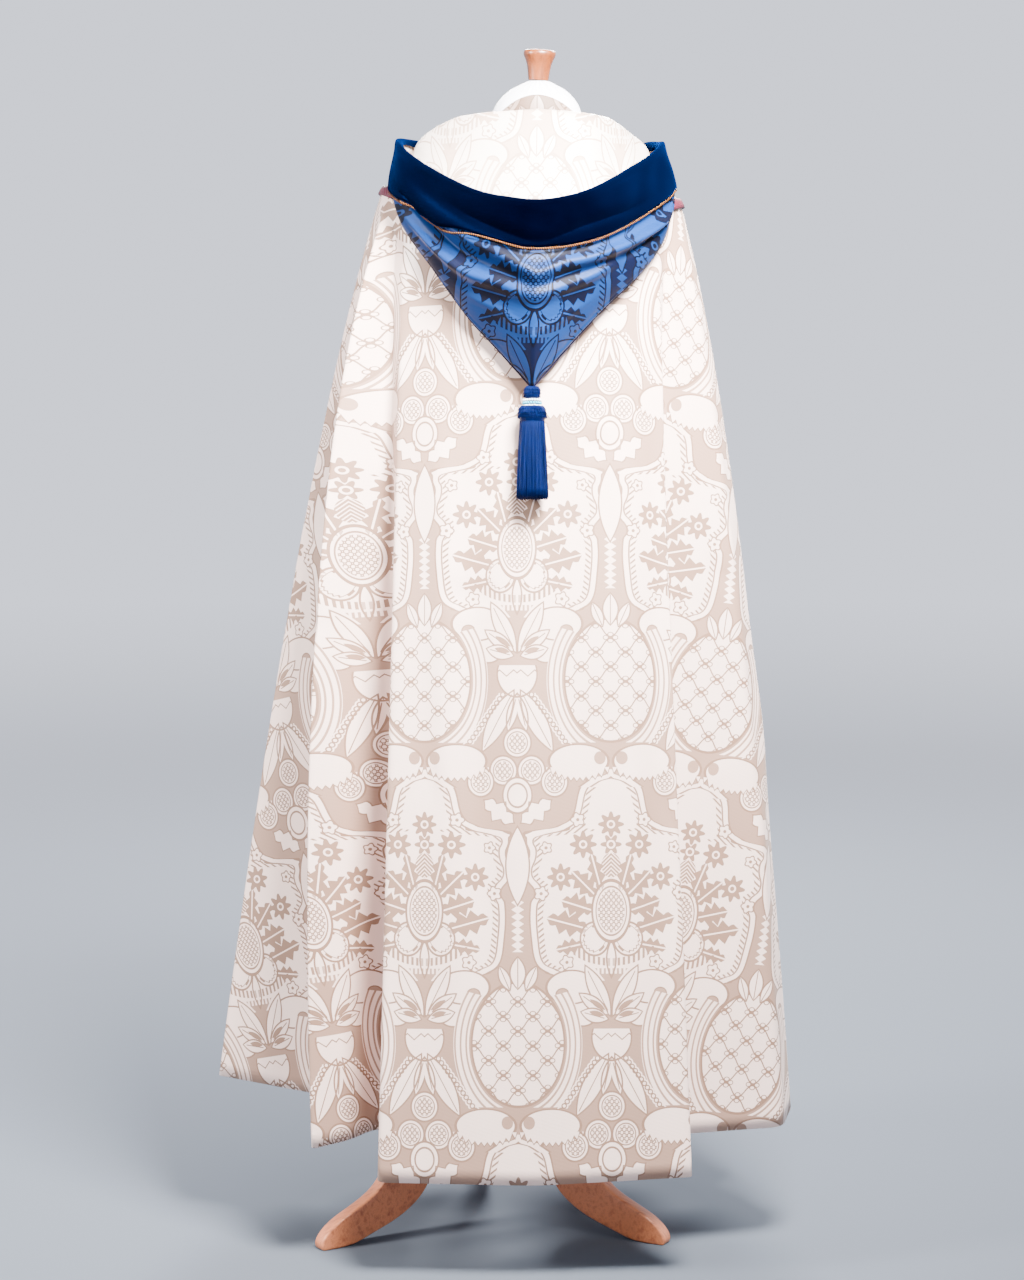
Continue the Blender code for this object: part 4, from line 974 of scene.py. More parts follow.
# The blue silk: its satin, twill and outline, how rough the satin and the twill are, its relief and its gloss.
blue_silk = ((0.0024, 0.0215, 0.098), (0.0002, 0.0014, 0.011), (0.0001, 0.0004, 0.0035), (0.46, 0.58), 0.0004, 0.09)
blue_damask = damask("blue_damask_silk", (0.0, 0.0), *blue_silk)
braid = Finish("burgundy_braid")
weave = {"Vector": braid.node("ShaderNodeUVMap", {"uv_map": "cloth"}), "Scale": 150.0, "Distortion": 1.5}
plait = braid.node("ShaderNodeTexWave", {"bands_direction": "DIAGONAL"}, weave)
burgundy = braid.mix(plait, (0.036, 0.0008, 0.006), (0.105, 0.003, 0.020))
burgundy_braid = braid.set(
    Base_Color=burgundy, Roughness=plait * 0.2 + 0.45, Normal=braid.bump(plait, 0.0006, 0.7)
)

trim_height = COPE_WALL / 2 + 2 * GAP + ORPHREY_WALL
orphrey_grid = drape + outwards * (COPE_WALL / 2 + GAP + ORPHREY_WALL / 2)
braid_grid = drape + outwards * (trim_height + BRAID_WALL / 2)
cover = np.full(drape.shape[:2], COPE_WALL / 2)
for side, sign in (("left", -1), ("right", 1)):
    turned_deg = degrees * sign
    edge = int(np.argmin(abs(turned_deg - ORPHREY_DEG)))
    edge_deg = turned_deg[edge]
    lower_end = np.minimum(turned_deg[:-1], turned_deg[1:])
    on_shoulder = (lower_end >= ORPHREY_BACK_DEG) & (lower_end < edge_deg)
    past_edge = np.sort(lower_end[lower_end >= edge_deg])[:BRAID_COLUMNS]
    strip = np.zeros((len(hem) - 1, drape.shape[1] - 1), bool)
    trim = strip.copy()
    strip[lower_end >= edge_deg, :] = True
    trim[np.isin(lower_end, past_edge), YOKE_STEPS - SHOULDER_ROWS :] = True
    for part in (strip, trim):
        part[on_shoulder, YOKE_STEPS - SHOULDER_ROWS : YOKE_STEPS] = True

    orphrey = add_cloth(f"orphrey_{side}_band", orphrey_grid, cope_flat, ORPHREY_WALL, keep=strip)
    finish_piece(orphrey, blue_damask, "blue_damask", f"orphrey_{side}")
    flat, area = cut_size(orphrey_grid, cope_flat, strip)

    tape = add_cloth(f"braid_{side}_band", braid_grid, cope_flat, BRAID_WALL, keep=trim)
    finish_piece(tape, burgundy_braid, "burgundy_braid", f"braid_{side}")
    _, area = cut_size(braid_grid, cope_flat, trim)
    for i, j in zip(*np.nonzero(strip)):
        cover[i : i + 2, j : j + 2] = trim_height + BRAID_WALL

# The hood: one bag of blue damask from the neck seam over a ridge, down the back to its bottom fold, and up
# again to the mouth. It is lined with cream damask and tapers to a point. Each station gives its ridge,
# its fold and its mouth.
HOOD_WALL = 0.0020
LINING_WALL = 0.0010
Station = namedtuple("Station", "deg ridge fold mouth")
HOOD = (
    Station(-168, (0.012, 0.090, 1.428), (0.002, 0.124, 1.372), (0.006, 0.118, 1.430)),
    Station(-150, (-0.028, 0.086, 1.442), (-0.055, 0.118, 1.386), (-0.044, 0.104, 1.454)),
    Station(-125, (-0.070, 0.066, 1.464), (-0.112, 0.078, 1.418), (-0.100, 0.066, 1.474)),
    Station(-100, (-0.097, 0.035, 1.477), (-0.127, 0.018, 1.438), (-0.133, 0.016, 1.479)),
    Station(-80, (-0.102, 0.010, 1.482), (-0.136, -0.050, 1.422), (-0.140, -0.030, 1.474)),
    Station(-62, (-0.092, -0.015, 1.492), (-0.130, -0.100, 1.366), (-0.127, -0.072, 1.455)),
    Station(-45, (-0.064, -0.045, 1.503), (-0.090, -0.138, 1.308), (-0.091, -0.122, 1.429)),
    Station(-28, (-0.030, -0.070, 1.504), (-0.043, -0.158, 1.244), (-0.036, -0.176, 1.400)),
    Station(-14, (0.005, -0.079, 1.504), (-0.006, -0.166, 1.204), (0.012, -0.208, 1.389)),
    Station(0, (0.045, -0.081, 1.504), (0.038, -0.182, 1.155), (0.0475, -0.213, 1.386)),
    Station(14, (0.085, -0.079, 1.504), (0.083, -0.166, 1.206), (0.086, -0.202, 1.392)),
    Station(28, (0.120, -0.068, 1.503), (0.128, -0.157, 1.254), (0.122, -0.176, 1.405)),
    Station(45, (0.145, -0.042, 1.501), (0.176, -0.136, 1.300), (0.164, -0.122, 1.430)),
    Station(62, (0.166, -0.012, 1.489), (0.208, -0.100, 1.345), (0.198, -0.072, 1.453)),
    Station(80, (0.180, 0.010, 1.479), (0.213, -0.046, 1.405), (0.212, -0.030, 1.470)),
    Station(100, (0.180, 0.035, 1.473), (0.206, 0.020, 1.422), (0.209, 0.016, 1.474)),
    Station(125, (0.158, 0.066, 1.462), (0.195, 0.080, 1.408), (0.187, 0.066, 1.474)),
    Station(150, (0.118, 0.086, 1.442), (0.145, 0.118, 1.384), (0.134, 0.104, 1.454)),
    Station(168, (0.078, 0.090, 1.428), (0.088, 0.124, 1.372), (0.084, 0.118, 1.430)),
)
HOOD_CENTRE = 9
CORNER_REACH = 5
HOOD_COLUMNS = 180
HOOD_FAR_ROWS = 30
HOOD_NEAR_ROWS = 48
HOOD_TURN = (0.006, 0.0036, 0.0036)
HOOD_TURN_ROWS = 8
HOOD_SEAM_OUT = 0.004
HOOD_FAR_BOW = 0.004
HOOD_REST = 0.0026
HOOD_APART = 0.0052
HOOD_BELLY = 0.020
LINING_IN = 0.0018
HOOD_ROUNDS = 8
HOOD_SPREADS = 6
HOOD_SPREAD_OVER = 4.4
HOOD_REACH = 0.020
HOOD_OVER_ROWS = 50
# Swags of the outer side: u runs from corner to corner, q from the bottom fold to the mouth.
SWAG_FADE = 0.3
Swag = namedtuple("Swag", "u_q depth half_width")
SWAGS = (
    Swag(((-0.75, 0.70), (-0.2, 0.63), (0.15, 0.59), (0.5, 0.42), (0.95, 0.24)), 0.013, 0.050),
    Swag(((-0.75, 0.26), (-0.4, 0.36), (0.0, 0.49), (0.35, 0.36), (0.6, 0.30)), 0.009, 0.045),
    Swag(((-0.85, 0.56), (-0.45, 0.50), (-0.1, 0.55)), -0.006, 0.040),
    Swag(((0.10, 0.50), (0.45, 0.34), (0.90, 0.16)), -0.005, 0.040),
    Swag(((-0.60, 0.84), (-0.2, 0.78), (0.3, 0.78), (0.7, 0.62)), -0.006, 0.045),
    Swag(((-0.5, 0.16), (-0.15, 0.26), (0.12, 0.24), (0.4, 0.14)), 0.003, 0.030),
)


def swag_height(u, q):
    """How far the hood's outer side stands out at this place, on top of its plain line."""
    fade = max(0.0, 1.0 - abs(u) ** 3)
    height = HOOD_BELLY * fade * math.sin(math.pi * min(1.0, q) ** 0.85)
    for swag in SWAGS:
        places, levels = zip(*swag.u_q)
        if places[0] <= u <= places[-1]:
            level = np.interp(u, places, levels)
            ends = min(1.0, (u - places[0]) / SWAG_FADE, (places[-1] - u) / SWAG_FADE)
            across = math.exp(-(((q - level) / swag.half_width) ** 2))
            height += swag.depth * math.sin(ends * math.pi / 2) ** 2 * across
    return height


def hood_frame(t):
    """The hood's places at a column: neck seam, ridge, fold, mouth, its way out and the fold's radius."""
    degree = float(spline([s.deg for s in HOOD], t))
    half = HOOD[: HOOD_CENTRE + 1] if t <= HOOD_CENTRE else HOOD[HOOD_CENTRE:]
    fold = spline([s.fold for s in half], t if t <= HOOD_CENTRE else t - HOOD_CENTRE)
    out = unit(np.array((fold[0] - NECK_X, fold[1] + 0.01, 0.0)))
    seam = neck_point(degree)
    seam = seam + unit(seam - (NECK_X, 0.0, seam[2])) * HOOD_SEAM_OUT
    ridge = spline([s.ridge for s in HOOD], t)
    mouth = spline([s.mouth for s in HOOD], t)
    return seam, ridge, fold, mouth, out, ease(*HOOD_TURN, degree)


def far_side(t):
    """The hood's points from the neck seam, over the ridge, down to where the bag's fold begins."""
    seam, ridge, fold, _, out, turn = hood_frame(t)
    far_end = fold + (0.0, 0.0, turn) - out * turn
    far = [seam, ridge, ridge + (far_end - ridge) * 0.5 + out * HOOD_FAR_BOW, far_end]
    return [spline(far, 3.0 * k / HOOD_FAR_ROWS) for k in range(HOOD_FAR_ROWS + 1)]


def near_side(t, far_end):
    """The hood's points round the bag's fold and up to the mouth, from the end of its far side."""
    _, _, _, mouth, out, turn = hood_frame(t)
    up = np.array((0.0, 0.0, 1.0))
    turn_centre = far_end + out * turn
    points = []
    for k in range(1, HOOD_TURN_ROWS):
        angle = math.pi * k / HOOD_TURN_ROWS
        points.append(turn_centre - turn * (out * math.cos(angle) + up * math.sin(angle)))
    near_start = turn_centre + out * turn
    u = (t - HOOD_CENTRE) / CORNER_REACH
    for k in range(HOOD_NEAR_ROWS + 1):
        q = k / HOOD_NEAR_ROWS
        points.append(near_start + (mouth - near_start) * q + out * swag_height(u, q))
    return points


def tree_of(grid):
    high, wide = grid.shape[:2]
    faces = []
    for i in range(high - 1):
        for k in range(i * wide, (i + 1) * wide - 1):
            faces += [(k, k + 1, k + wide + 1), (k, k + wide + 1, k + wide)]
    return BVHTree.FromPolygons([Vector(p) for p in grid.reshape(-1, 3)], faces)


def lay_outside(grid, cloth, rest, reach):
    """Moves the grid's points out of cloth within reach, and draws their neighbours along."""
    for _ in range(HOOD_ROUNDS):
        push = np.zeros(grid.shape).reshape(-1, 3)
        for k, place in enumerate(grid.reshape(-1, 3)):
            near, normal, _, distance = cloth.find_nearest(Vector(place), reach)
            if near is not None:
                height = (Vector(place) - near).dot(normal)
                push[k] = np.array(normal) * max(0.0, rest - (distance if height > 0 else height))
        push = push.reshape(grid.shape)
        for _ in range(HOOD_SPREADS):
            ring = np.pad(push, ((1, 1), (1, 1), (0, 0)), mode="edge")
            mean = (ring[2:, 1:-1] + ring[:-2, 1:-1] + ring[1:-1, 2:] + ring[1:-1, :-2]) / HOOD_SPREAD_OVER
            own = np.linalg.norm(push, axis=2, keepdims=True)
            push = np.where(own >= np.linalg.norm(mean, axis=2, keepdims=True), push, mean)
        grid += push


top = drape + outwards * cover[:, :, None]
last_station = len(HOOD) - 1
hood_places = [last_station * k / HOOD_COLUMNS for k in range(HOOD_COLUMNS + 1)]
far = np.array([far_side(t) for t in hood_places])
lay_outside(far, tree_of(top[:, : YOKE_STEPS + HOOD_OVER_ROWS]), HOOD_REST, HOOD_REACH)
near = np.array([near_side(t, column[-1]) for t, column in zip(hood_places, far)])
outer = near[:, HOOD_TURN_ROWS - 1 :].copy()
lay_outside(outer, tree_of(far), HOOD_APART, HOOD_APART)
near[:, HOOD_TURN_ROWS - 1 :] = outer
hood = np.concatenate((far, near), axis=1)
hood_out = normals_of(hood) * -1
middle = HOOD_COLUMNS // 2
level_steps = np.cumsum(step_lengths(hood[:, :, :2], 0), axis=0)
level_run = np.concatenate((np.zeros((1, hood.shape[1])), level_steps))
hood_flat = np.stack((level_run - level_run[middle], hood[:, :, 2]), axis=2)
hood_piece = add_cloth("pointed_hood", hood, hood_flat, HOOD_WALL, flip=True)
hood_damask = damask("blue_hood_damask", (HALF_WIDE, -1.290), *blue_silk)
finish_piece(hood_piece, hood_damask, "blue_damask", "hood")

lining = hood - hood_out * LINING_IN
lining_piece = add_cloth("cream_hood_lining", lining, hood_flat, LINING_WALL, flip=True)
cream_colours = ((0.66, 0.575, 0.525), (0.42, 0.30, 0.24), (0.33, 0.225, 0.17))
lining_damask = damask("cream_lining_damask", (HALF_WIDE, -1.08), *cream_colours, (0.34, 0.60))
finish_piece(lining_piece, lining_damask, "cream_lining", "hood_lining")

# The velvet band: a strip of dark blue silk velvet cut on the cross, turned over the hood's mouth so that it shows
# a little inside and broadly outside. Its pile catches the light along its rolls through the shader's sheen, and
# its colour carries a painted sheen as well.
VELVET_WALL = 0.0024
# Its section, from inside the mouth over the edge and down: (down the outer side, out from the cloth).
BAND_SECTION = (
    (0.008, -0.0054), (0.001, -0.0054), (-0.0042, -0.0032), (-0.0054, 0.0004), (-0.0038, 0.0034),
    (0.004, 0.0046), (0.022, 0.0050), (0.042, 0.0064), (0.059, 0.0084),
)
BAND_STEPS = 5
BAND_FRONT_SHARE = 0.70
BAND_TAPER = 0.22
BAND_LIMIT = 0.92
BAND_CLOSE = (1.0, 0.70, 0.90)
PIPING_DOWN = 0.0028
PIPING_RADIUS = 0.0013
ROLLS_FROM = 0.004
ROLLS_DEEP = 0.055
CALM_ROUNDS = (12, 6)
VELVET_ROUNDS = 2
# Soft rolls across the band: where along it, from 0 to 1, how deep, how wide, and how far it slants.
Roll = namedtuple("Roll", "place depth half_width slant")
ROLLS = (
    Roll(0.285, 0.0030, 0.016, 0.045),
    Roll(0.330, -0.0018, 0.020, -0.020),
    Roll(0.395, 0.0014, 0.018, 0.030),
    Roll(0.455, -0.0012, 0.022, -0.010),
    Roll(0.520, 0.0012, 0.020, 0.020),
    Roll(0.580, -0.0014, 0.018, 0.025),
    Roll(0.640, 0.0016, 0.020, -0.030),
    Roll(0.705, -0.0018, 0.016, -0.030),
    Roll(0.760, 0.0014, 0.020, 0.020),
    Roll(0.200, -0.0012, 0.020, 0.020),
    Roll(0.305, 0.0020, 0.010, 0.060),
    Roll(0.345, -0.0014, 0.010, 0.050),
    Roll(0.372, 0.0012, 0.009, 0.030),
    Roll(0.665, -0.0012, 0.010, -0.040),
)


def band_reach(column, place):
    """How far the band comes down this column, as a share: less at the front ends and over a short side."""
    share = BAND_FRONT_SHARE + (1.0 - BAND_FRONT_SHARE) * min(1.0, min(place, 1.0 - place) / BAND_TAPER)
    side = step_lengths(column[-HOOD_NEAR_ROWS - 1 :], 0).sum()
    return min(share, BAND_LIMIT * side / BAND_SECTION[-1][0])


def on_outer_side(column, outs, down, out):
    """A point this far down the hood's outer side from the mouth, and this far out from its cloth."""
    j = len(column) - 1
    while down > 0 and down > np.linalg.norm(column[j - 1] - column[j]):
        down -= np.linalg.norm(column[j - 1] - column[j])
        j -= 1
    f = down / np.linalg.norm(column[j - 1] - column[j])
    return column[j] + (column[j - 1] - column[j]) * f + unit(outs[j] * (1 - f) + outs[j - 1] * max(f, 0.0)) * out


def smoothed(grid, rounds):
    """The grid with each point drawn towards the mean of those beside it along the cloth."""
    for _ in range(rounds):
        grid = np.concatenate((grid[:1], (grid[:-2] + 2 * grid[1:-1] + grid[2:]) / 4, grid[-1:]))
    return grid


def roll_height(place, down):
    """How far the rolls raise the velvet, at this share of its length and this far down."""
    drop = (down - ROLLS_FROM) / ROLLS_DEEP
    if drop <= 0:
        return 0.0
    fade = math.sin(math.pi * min(1.0, drop * 0.9 + 0.1)) ** 0.7
    offs = [(roll, (place - roll.place - roll.slant * (drop - 0.5)) / roll.half_width) for roll in ROLLS]
    return sum(roll.depth * math.exp(-(off**2)) * fade for roll, off in offs)


calm_out = smoothed(hood_out, CALM_ROUNDS[0])
calm_out /= np.linalg.norm(calm_out, axis=2, keepdims=True)
calm_hood = smoothed(hood, CALM_ROUNDS[1])
velvet, velvet_flat, edge_line = [], [], []
for i, t in enumerate(hood_places):
    place = t / last_station
    share = band_reach(hood[i], place)
    close = ease(*BAND_CLOSE, float(spline([s.deg for s in HOOD], t)))
    column, spots = [], []
    for k in range((len(BAND_SECTION) - 1) * BAND_STEPS + 1):
        down, out = spline(BAND_SECTION, k / BAND_STEPS)
        if out > 0:
            out = out * close + roll_height(place, down)
        column.append(on_outer_side(calm_hood[i], calm_out[i], down * share, out))
        spots.append((level_run[i, -1], -down * share))
    velvet.append(column)
    velvet_flat.append(spots)
    low, out = BAND_SECTION[-1]
    edge_line.append(on_outer_side(calm_hood[i], calm_out[i], low * share + PIPING_DOWN, out * close))
velvet, velvet_flat = smoothed(np.array(velvet), VELVET_ROUNDS), np.array(velvet_flat)
band_piece = add_cloth("velvet_mouth_band", velvet, velvet_flat, VELVET_WALL)

pile = Finish("dark_blue_velvet")
# Painted sheen: the base colour turns a lighter blue where the band is seen at a slant.
facing = pile.node("ShaderNodeLayerWeight", {}, {"Blend": 0.42}, 1)
brushed = pile.noise(pile.place((0.0, 0.0, 0.0), (1.0, 1.0, 1.6)), 26.0, 3.0)
fibre = pile.noise(pile.place(), 1500.0, 2.0)
deep = pile.mix(brushed, (0.00002, 0.00006, 0.0008), (0.00006, 0.0002, 0.0022))
painted_sheen_blue = pile.mix(facing.math("POWER", 2.2), deep, (0.0007, 0.0050, 0.030))
velvet_finish = pile.set(
    Base_Color=painted_sheen_blue,
    Roughness=fibre * 0.1 + 0.80,
    Sheen_Weight=0.05,
    Sheen_Roughness=0.30,
    Sheen_Tint=(0.02, 0.20, 0.95),
    Specular_IOR_Level=0.0,
    Normal=pile.bump(fibre, 0.0006, 0.6),
)
finish_piece(band_piece, velvet_finish, "blue_velvet", "hood_band")

# The piping and the edge cord: a twisted cord of red and gold thread sewn under the velvet's lower edge, and
# a thin dark one along the hood's bottom fold.
CORD_SIDES = 10
CORD_ROUNDS = 4
EDGE_CORD_RADIUS = 0.0013
EDGE_CORD_OUT = 0.6
# How many columns at each end of the hood go without the cord.
PIPING_SHORT = 8
EDGE_CORD_SHORT = 4


def add_cord(name, line, radius):
    """A cord along a line of points. Its UV map runs along it in metres and once round it."""
    line = np.array(line)
    ahead = np.gradient(line, axis=0)
    ahead /= np.linalg.norm(ahead, axis=1, keepdims=True)
    side = unit(np.cross(ahead[0], (0.0, 0.0, 1.0)))
    points = []
    for place, way in zip(line, ahead):
        side = unit(side - way * (side @ way))
        up = np.cross(side, way)
        for n in range(CORD_SIDES):
            angle = 2 * math.pi * n / CORD_SIDES
            points.append(place + radius * (side * math.cos(angle) + up * math.sin(angle)))
    piece = new_mesh(name, points, ring_faces(len(line), CORD_SIDES))
    runs = np.concatenate(((0.0,), np.cumsum(step_lengths(line, 0))))
    layer = piece.data.uv_layers.new(name="cord")
    for face in piece.data.polygons:
        arounds = [vertex % CORD_SIDES for vertex in face.vertices]
        wraps = len(arounds) == 4 and set(arounds) == {0, CORD_SIDES - 1}
        for corner, vertex, around in zip(face.loop_indices, face.vertices, arounds):
            around = CORD_SIDES if wraps and around == 0 else around
            layer.data[corner].uv = (runs[vertex // CORD_SIDES], around / CORD_SIDES)
    return piece


def twisted(name, first, second, pitch, share=0.15):
    """Two colours of thread twisted together, with proud strands; share sets how thin the second is."""
    finish = Finish(name)
    spot = finish.node("ShaderNodeUVMap", {"uv_map": "cord"})
    along = finish.node("ShaderNodeSeparateXYZ", {}, (spot,), 0)
    around = finish.node("ShaderNodeSeparateXYZ", {}, (spot,), 1)
    ply = ((along / pitch + around) * (2 * math.pi)).math("SINE")
    fine = ((along / 0.0005 + around * 5.0) * (2 * math.pi)).math("SINE")
    return finish.set(
        Base_Color=finish.mix(ply > share, first, second),
        Roughness=fine * 0.08 + 0.55,
        Specular_IOR_Level=0.12,
        Normal=finish.bump(abs(ply) * 0.8 + fine * 0.2, 0.0006, 0.8),
    )


red_gold = twisted("red_gold_cord", (0.006, 0.0006, 0.003), (0.30, 0.115, 0.016), 0.0030, 0.80)
piping_line = smoothed(np.array(edge_line), CORD_ROUNDS)[PIPING_SHORT:-PIPING_SHORT]
piping = add_cord("mouth_piping", piping_line, PIPING_RADIUS)
finish_piece(piping, red_gold, "red_gold_cord", "hood_piping")
fold_row = HOOD_FAR_ROWS + HOOD_TURN_ROWS // 2
navy_cord = twisted("navy_edge_cord", (0.0006, 0.002, 0.014), (0.0100, 0.0060, 0.020), 0.0040)
fold_line = hood[:, fold_row] + hood_out[:, fold_row] * (HOOD_WALL / 2 + EDGE_CORD_RADIUS * EDGE_CORD_OUT)
edge_cord = add_cord("hood_edge_cord", fold_line[EDGE_CORD_SHORT:-EDGE_CORD_SHORT], EDGE_CORD_RADIUS)
finish_piece(edge_cord, navy_cord, "blue_silk")

# The tassel: blue silk over a turned wooden mould, with a cut ruff at its top, two rows of small glass
# beads round its neck, a fuller ruff below, and a skirt of silk threads cut level.
# The mould's profile, from its foot up to the hood's point, as (radius, height).
TASSEL_HEAD = (
    (0.0164, -0.0440), (0.0160, -0.0400), (0.0150, -0.0330), (0.0125, -0.0270), (0.0096, -0.0235),
    (0.0100, -0.0210), (0.0098, -0.0175), (0.0090, -0.0150), (0.0085, -0.0120), (0.0085, -0.0060),
    (0.0060, -0.0020), (0.0028, -0.0010),
)
TASSEL_SIDES = 40
TASSEL_TILT = -0.13
SKIRT_LENGTH = 0.104
SKIRT_RADII = (0.0158, 0.0212)
SKIRT_STRANDS = 420
SKIRT_STEPS = 8
SKIRT_BELLY = 0.0012
STRAND_RADIUS = 0.00062
THREAD_THINNING = 0.25
LOOP_ARCH = 0.0022
SKIRT_INTO_HEAD = 0.003
BEADS_ROUND = 20
# Each glass: its colour, and its rings of beads as (radius of the ring, height, radius of a bead, turn in beads).
GLASSES = (
    ("white_glass", (0.80, 0.88, 0.92), ((0.0112, -0.0168, 0.0016, 0.0), (0.0110, -0.0240, 0.0015, 0.0))),
    ("turquoise_glass", (0.02, 0.42, 0.60), ((0.0114, -0.0205, 0.0017, 0.5),)),
)
LOOP_RADIUS = 0.00085
# Each ruff: radius at its foot and its tip, height of foot and tip, and how many loops.
RUFFS = (
    (0.0050, 0.0108, -0.0010, -0.0050, 46),
    (0.0062, 0.0112, -0.0040, -0.0090, 46),
    (0.0070, 0.0104, -0.0075, -0.0130, 46),
    (0.0095, 0.0176, -0.0262, -0.0300, 62),
    (0.0110, 0.0190, -0.0285, -0.0350, 66),
    (0.0120, 0.0186, -0.0315, -0.0400, 66),
)

tip = hood[middle, fold_row] - (0.0, 0.0, HOOD_WALL / 2 + GAP)
hang = Matrix.Translation(Vector(tip)) @ Matrix.Rotation(TASSEL_TILT, 4, "X")
random.seed(11)


def tubes(name, lines, radius, sides):
    """Many fine threads in one mesh, each drawn along its own line and tapering a little."""
    points, faces = [], []
    for line in lines:
        base = len(points)
        for k, place in enumerate(line):
            ahead = unit(np.array(line[min(k + 1, len(line) - 1)]) - line[max(k - 1, 0)])
            side = unit(np.cross(ahead, (0.31, 0.95, 0.07)))
            up = np.cross(side, ahead)
            thin = radius * (1.0 - THREAD_THINNING * k / (len(line) - 1))
            for n in range(sides):
                angle = 2 * math.pi * n / sides
                points.append(place + thin * (side * math.cos(angle) + up * math.sin(angle)))
        faces += [tuple(base + v for v in face) for face in ring_faces(len(line), sides)]
    return new_mesh(name, points, faces)


mould = drawn_up("tassel_mould", TASSEL_HEAD, TASSEL_SIDES)
mould.data.transform(hang @ Matrix.Translation((0, 0, TASSEL_HEAD[0][1])))
mould.data.shade_smooth()

ruff_lines = []
for foot, reach, foot_z, tip_z, loops in RUFFS:
    for n in range(loops):
        angle = 2 * math.pi * (n + 0.5 * random.random()) / loops
        way = np.array((math.cos(angle), math.sin(angle), 0.0))
        far_out = reach * random.uniform(0.93, 1.05)
        arch = LOOP_ARCH * random.uniform(0.7, 1.3)
        line = []
        for f in (0.0, 0.25, 0.5, 0.75, 1.0):
            height = foot_z + (tip_z - foot_z) * f * f + arch * math.sin(math.pi * f)
            line.append(way * (foot + (far_out - foot) * f) + (0, 0, height))
        ruff_lines.append(line)
ruffs = tubes("tassel_ruffs", ruff_lines, LOOP_RADIUS, 5)
ruffs.data.transform(hang)

skirt_lines = []
for n in range(SKIRT_STRANDS):
    share = math.sqrt((n + 0.5) / SKIRT_STRANDS)
    angle = n * math.pi * (3 - math.sqrt(5))
    wobble = random.uniform(-1, 1), random.uniform(-1, 1)
    root, end = SKIRT_RADII[0] * share, SKIRT_RADII[1] * share * random.uniform(0.93, 1.05)
    long = SKIRT_LENGTH * random.uniform(0.965, 1.0)
    line = []
    for k in range(SKIRT_STEPS + 1):
        f = k / SKIRT_STEPS
        radius = root + (end - root) * f**1.3 + SKIRT_BELLY * math.sin(math.pi * f) * share
        twist = angle + 0.05 * wobble[0] * math.sin(3.0 * f + wobble[1])
        height = TASSEL_HEAD[0][1] + SKIRT_INTO_HEAD - long * f
        line.append(np.array((radius * math.cos(twist), radius * math.sin(twist), height)))
    skirt_lines.append(line)
skirt = tubes("tassel_threads", skirt_lines, STRAND_RADIUS, 4)
skirt.data.transform(hang)

silk = Finish("blue_tassel_silk")
twist = {"Vector": silk.place(), "Scale": 420.0, "Distortion": 2.0}
twist_wave = silk.node("ShaderNodeTexWave", {"bands_direction": "DIAGONAL"}, twist)
tone = silk.noise(silk.place((0, 0, 0), (1.0, 1.0, 0.06)), 420.0, 2.0)
silk_thread = silk.set(
    Base_Color=silk.mix(tone, (0.0001, 0.0009, 0.0085), (0.0007, 0.0075, 0.058)),
    Roughness=tone * 0.15 + 0.35,
    Specular_IOR_Level=0.04,
    Normal=silk.bump(twist_wave, 0.0003, 0.5),
)
finish_piece(mould, silk_thread, "blue_silk", "tassel_head")
finish_piece(ruffs, silk_thread, "blue_silk")
finish_piece(skirt, silk_thread, "blue_silk", "tassel_skirt")

for name, colour, rings in GLASSES:
    beads = []
    for ring_radius, height, radius, turn in rings:
        for n in range(BEADS_ROUND):
            angle = 2 * math.pi * (n + turn) / BEADS_ROUND
            bpy.ops.object.select_all(action="DESELECT")
            at = hang @ Vector((ring_radius * math.cos(angle), ring_radius * math.sin(angle), height))
            bpy.ops.mesh.primitive_ico_sphere_add(subdivisions=2, radius=radius, location=at)
            beads.append(bpy.context.object)
    for bead in beads:
        bead.select_set(True)
    bpy.context.view_layer.objects.active = beads[0]
    bpy.ops.object.join()
    strung = bpy.context.object
    strung.name = f"{name}_beads"
    bpy.ops.object.transform_apply(location=True, rotation=True, scale=True)
    strung.data.shade_smooth()
    glass = Finish(name)
    speck = glass.noise(glass.place(), 900.0, 2.0)
    tint = glass.mix(speck, colour, tuple(0.7 * c for c in colour))
    finish_piece(strung, glass.set(Base_Color=tint, Roughness=speck * 0.1 + 0.08, Coat_Weight=0.6), "blue_silk")

# The morse: a small plaque of the same velvet over a stiff base, hooked across the two front edges, with a
# border of the red and gold cord.
MORSE_EDGE = 0.0014
MORSE_THICK = 0.0045
MORSE_HIGH = 0.060
MORSE_SWELL = 0.0022
MORSE_CUTS = 7
BORDER_IN = 0.005
BORDER_OUT = 0.0012
BORDER_CORNER = 0.006
low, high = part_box("morse")
corners = np.array([v.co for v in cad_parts["morse"].data.vertices])
foot_y = corners[corners[:, 2] < low.z + 0.003][:, 1].max()
head_y = corners[corners[:, 2] > high.z - 0.003][:, 1].max()
slope = math.atan2(foot_y - head_y, high.z - low.z)
morse_size = (high.x - low.x, MORSE_THICK, MORSE_HIGH)
bpy.ops.object.select_all(action="DESELECT")
bpy.ops.mesh.primitive_cube_add(size=1.0, location=(low + high) / 2, rotation=(slope, 0, 0), scale=morse_size)
plaque = bpy.context.object
plaque.name = "morse_plaque"
bpy.ops.object.transform_apply(location=False, rotation=False, scale=True)
bpy.ops.object.mode_set(mode="EDIT")
bpy.ops.mesh.select_all(action="SELECT")
bpy.ops.mesh.subdivide(number_cuts=MORSE_CUTS)
bpy.ops.object.mode_set(mode="OBJECT")
for vertex in plaque.data.vertices:
    if vertex.co.y > 0.001:
        swell = math.cos(math.pi * vertex.co.x / 0.10) * math.cos(math.pi * vertex.co.z / 0.064)
        vertex.co.y += MORSE_SWELL * max(0.0, swell)
round_edges(plaque, MORSE_EDGE)
turn_plaque = plaque.matrix_world.copy()
apply_all(plaque)
plaque.data.shade_smooth()
finish_piece(plaque, velvet_finish, "blue_velvet", "morse")
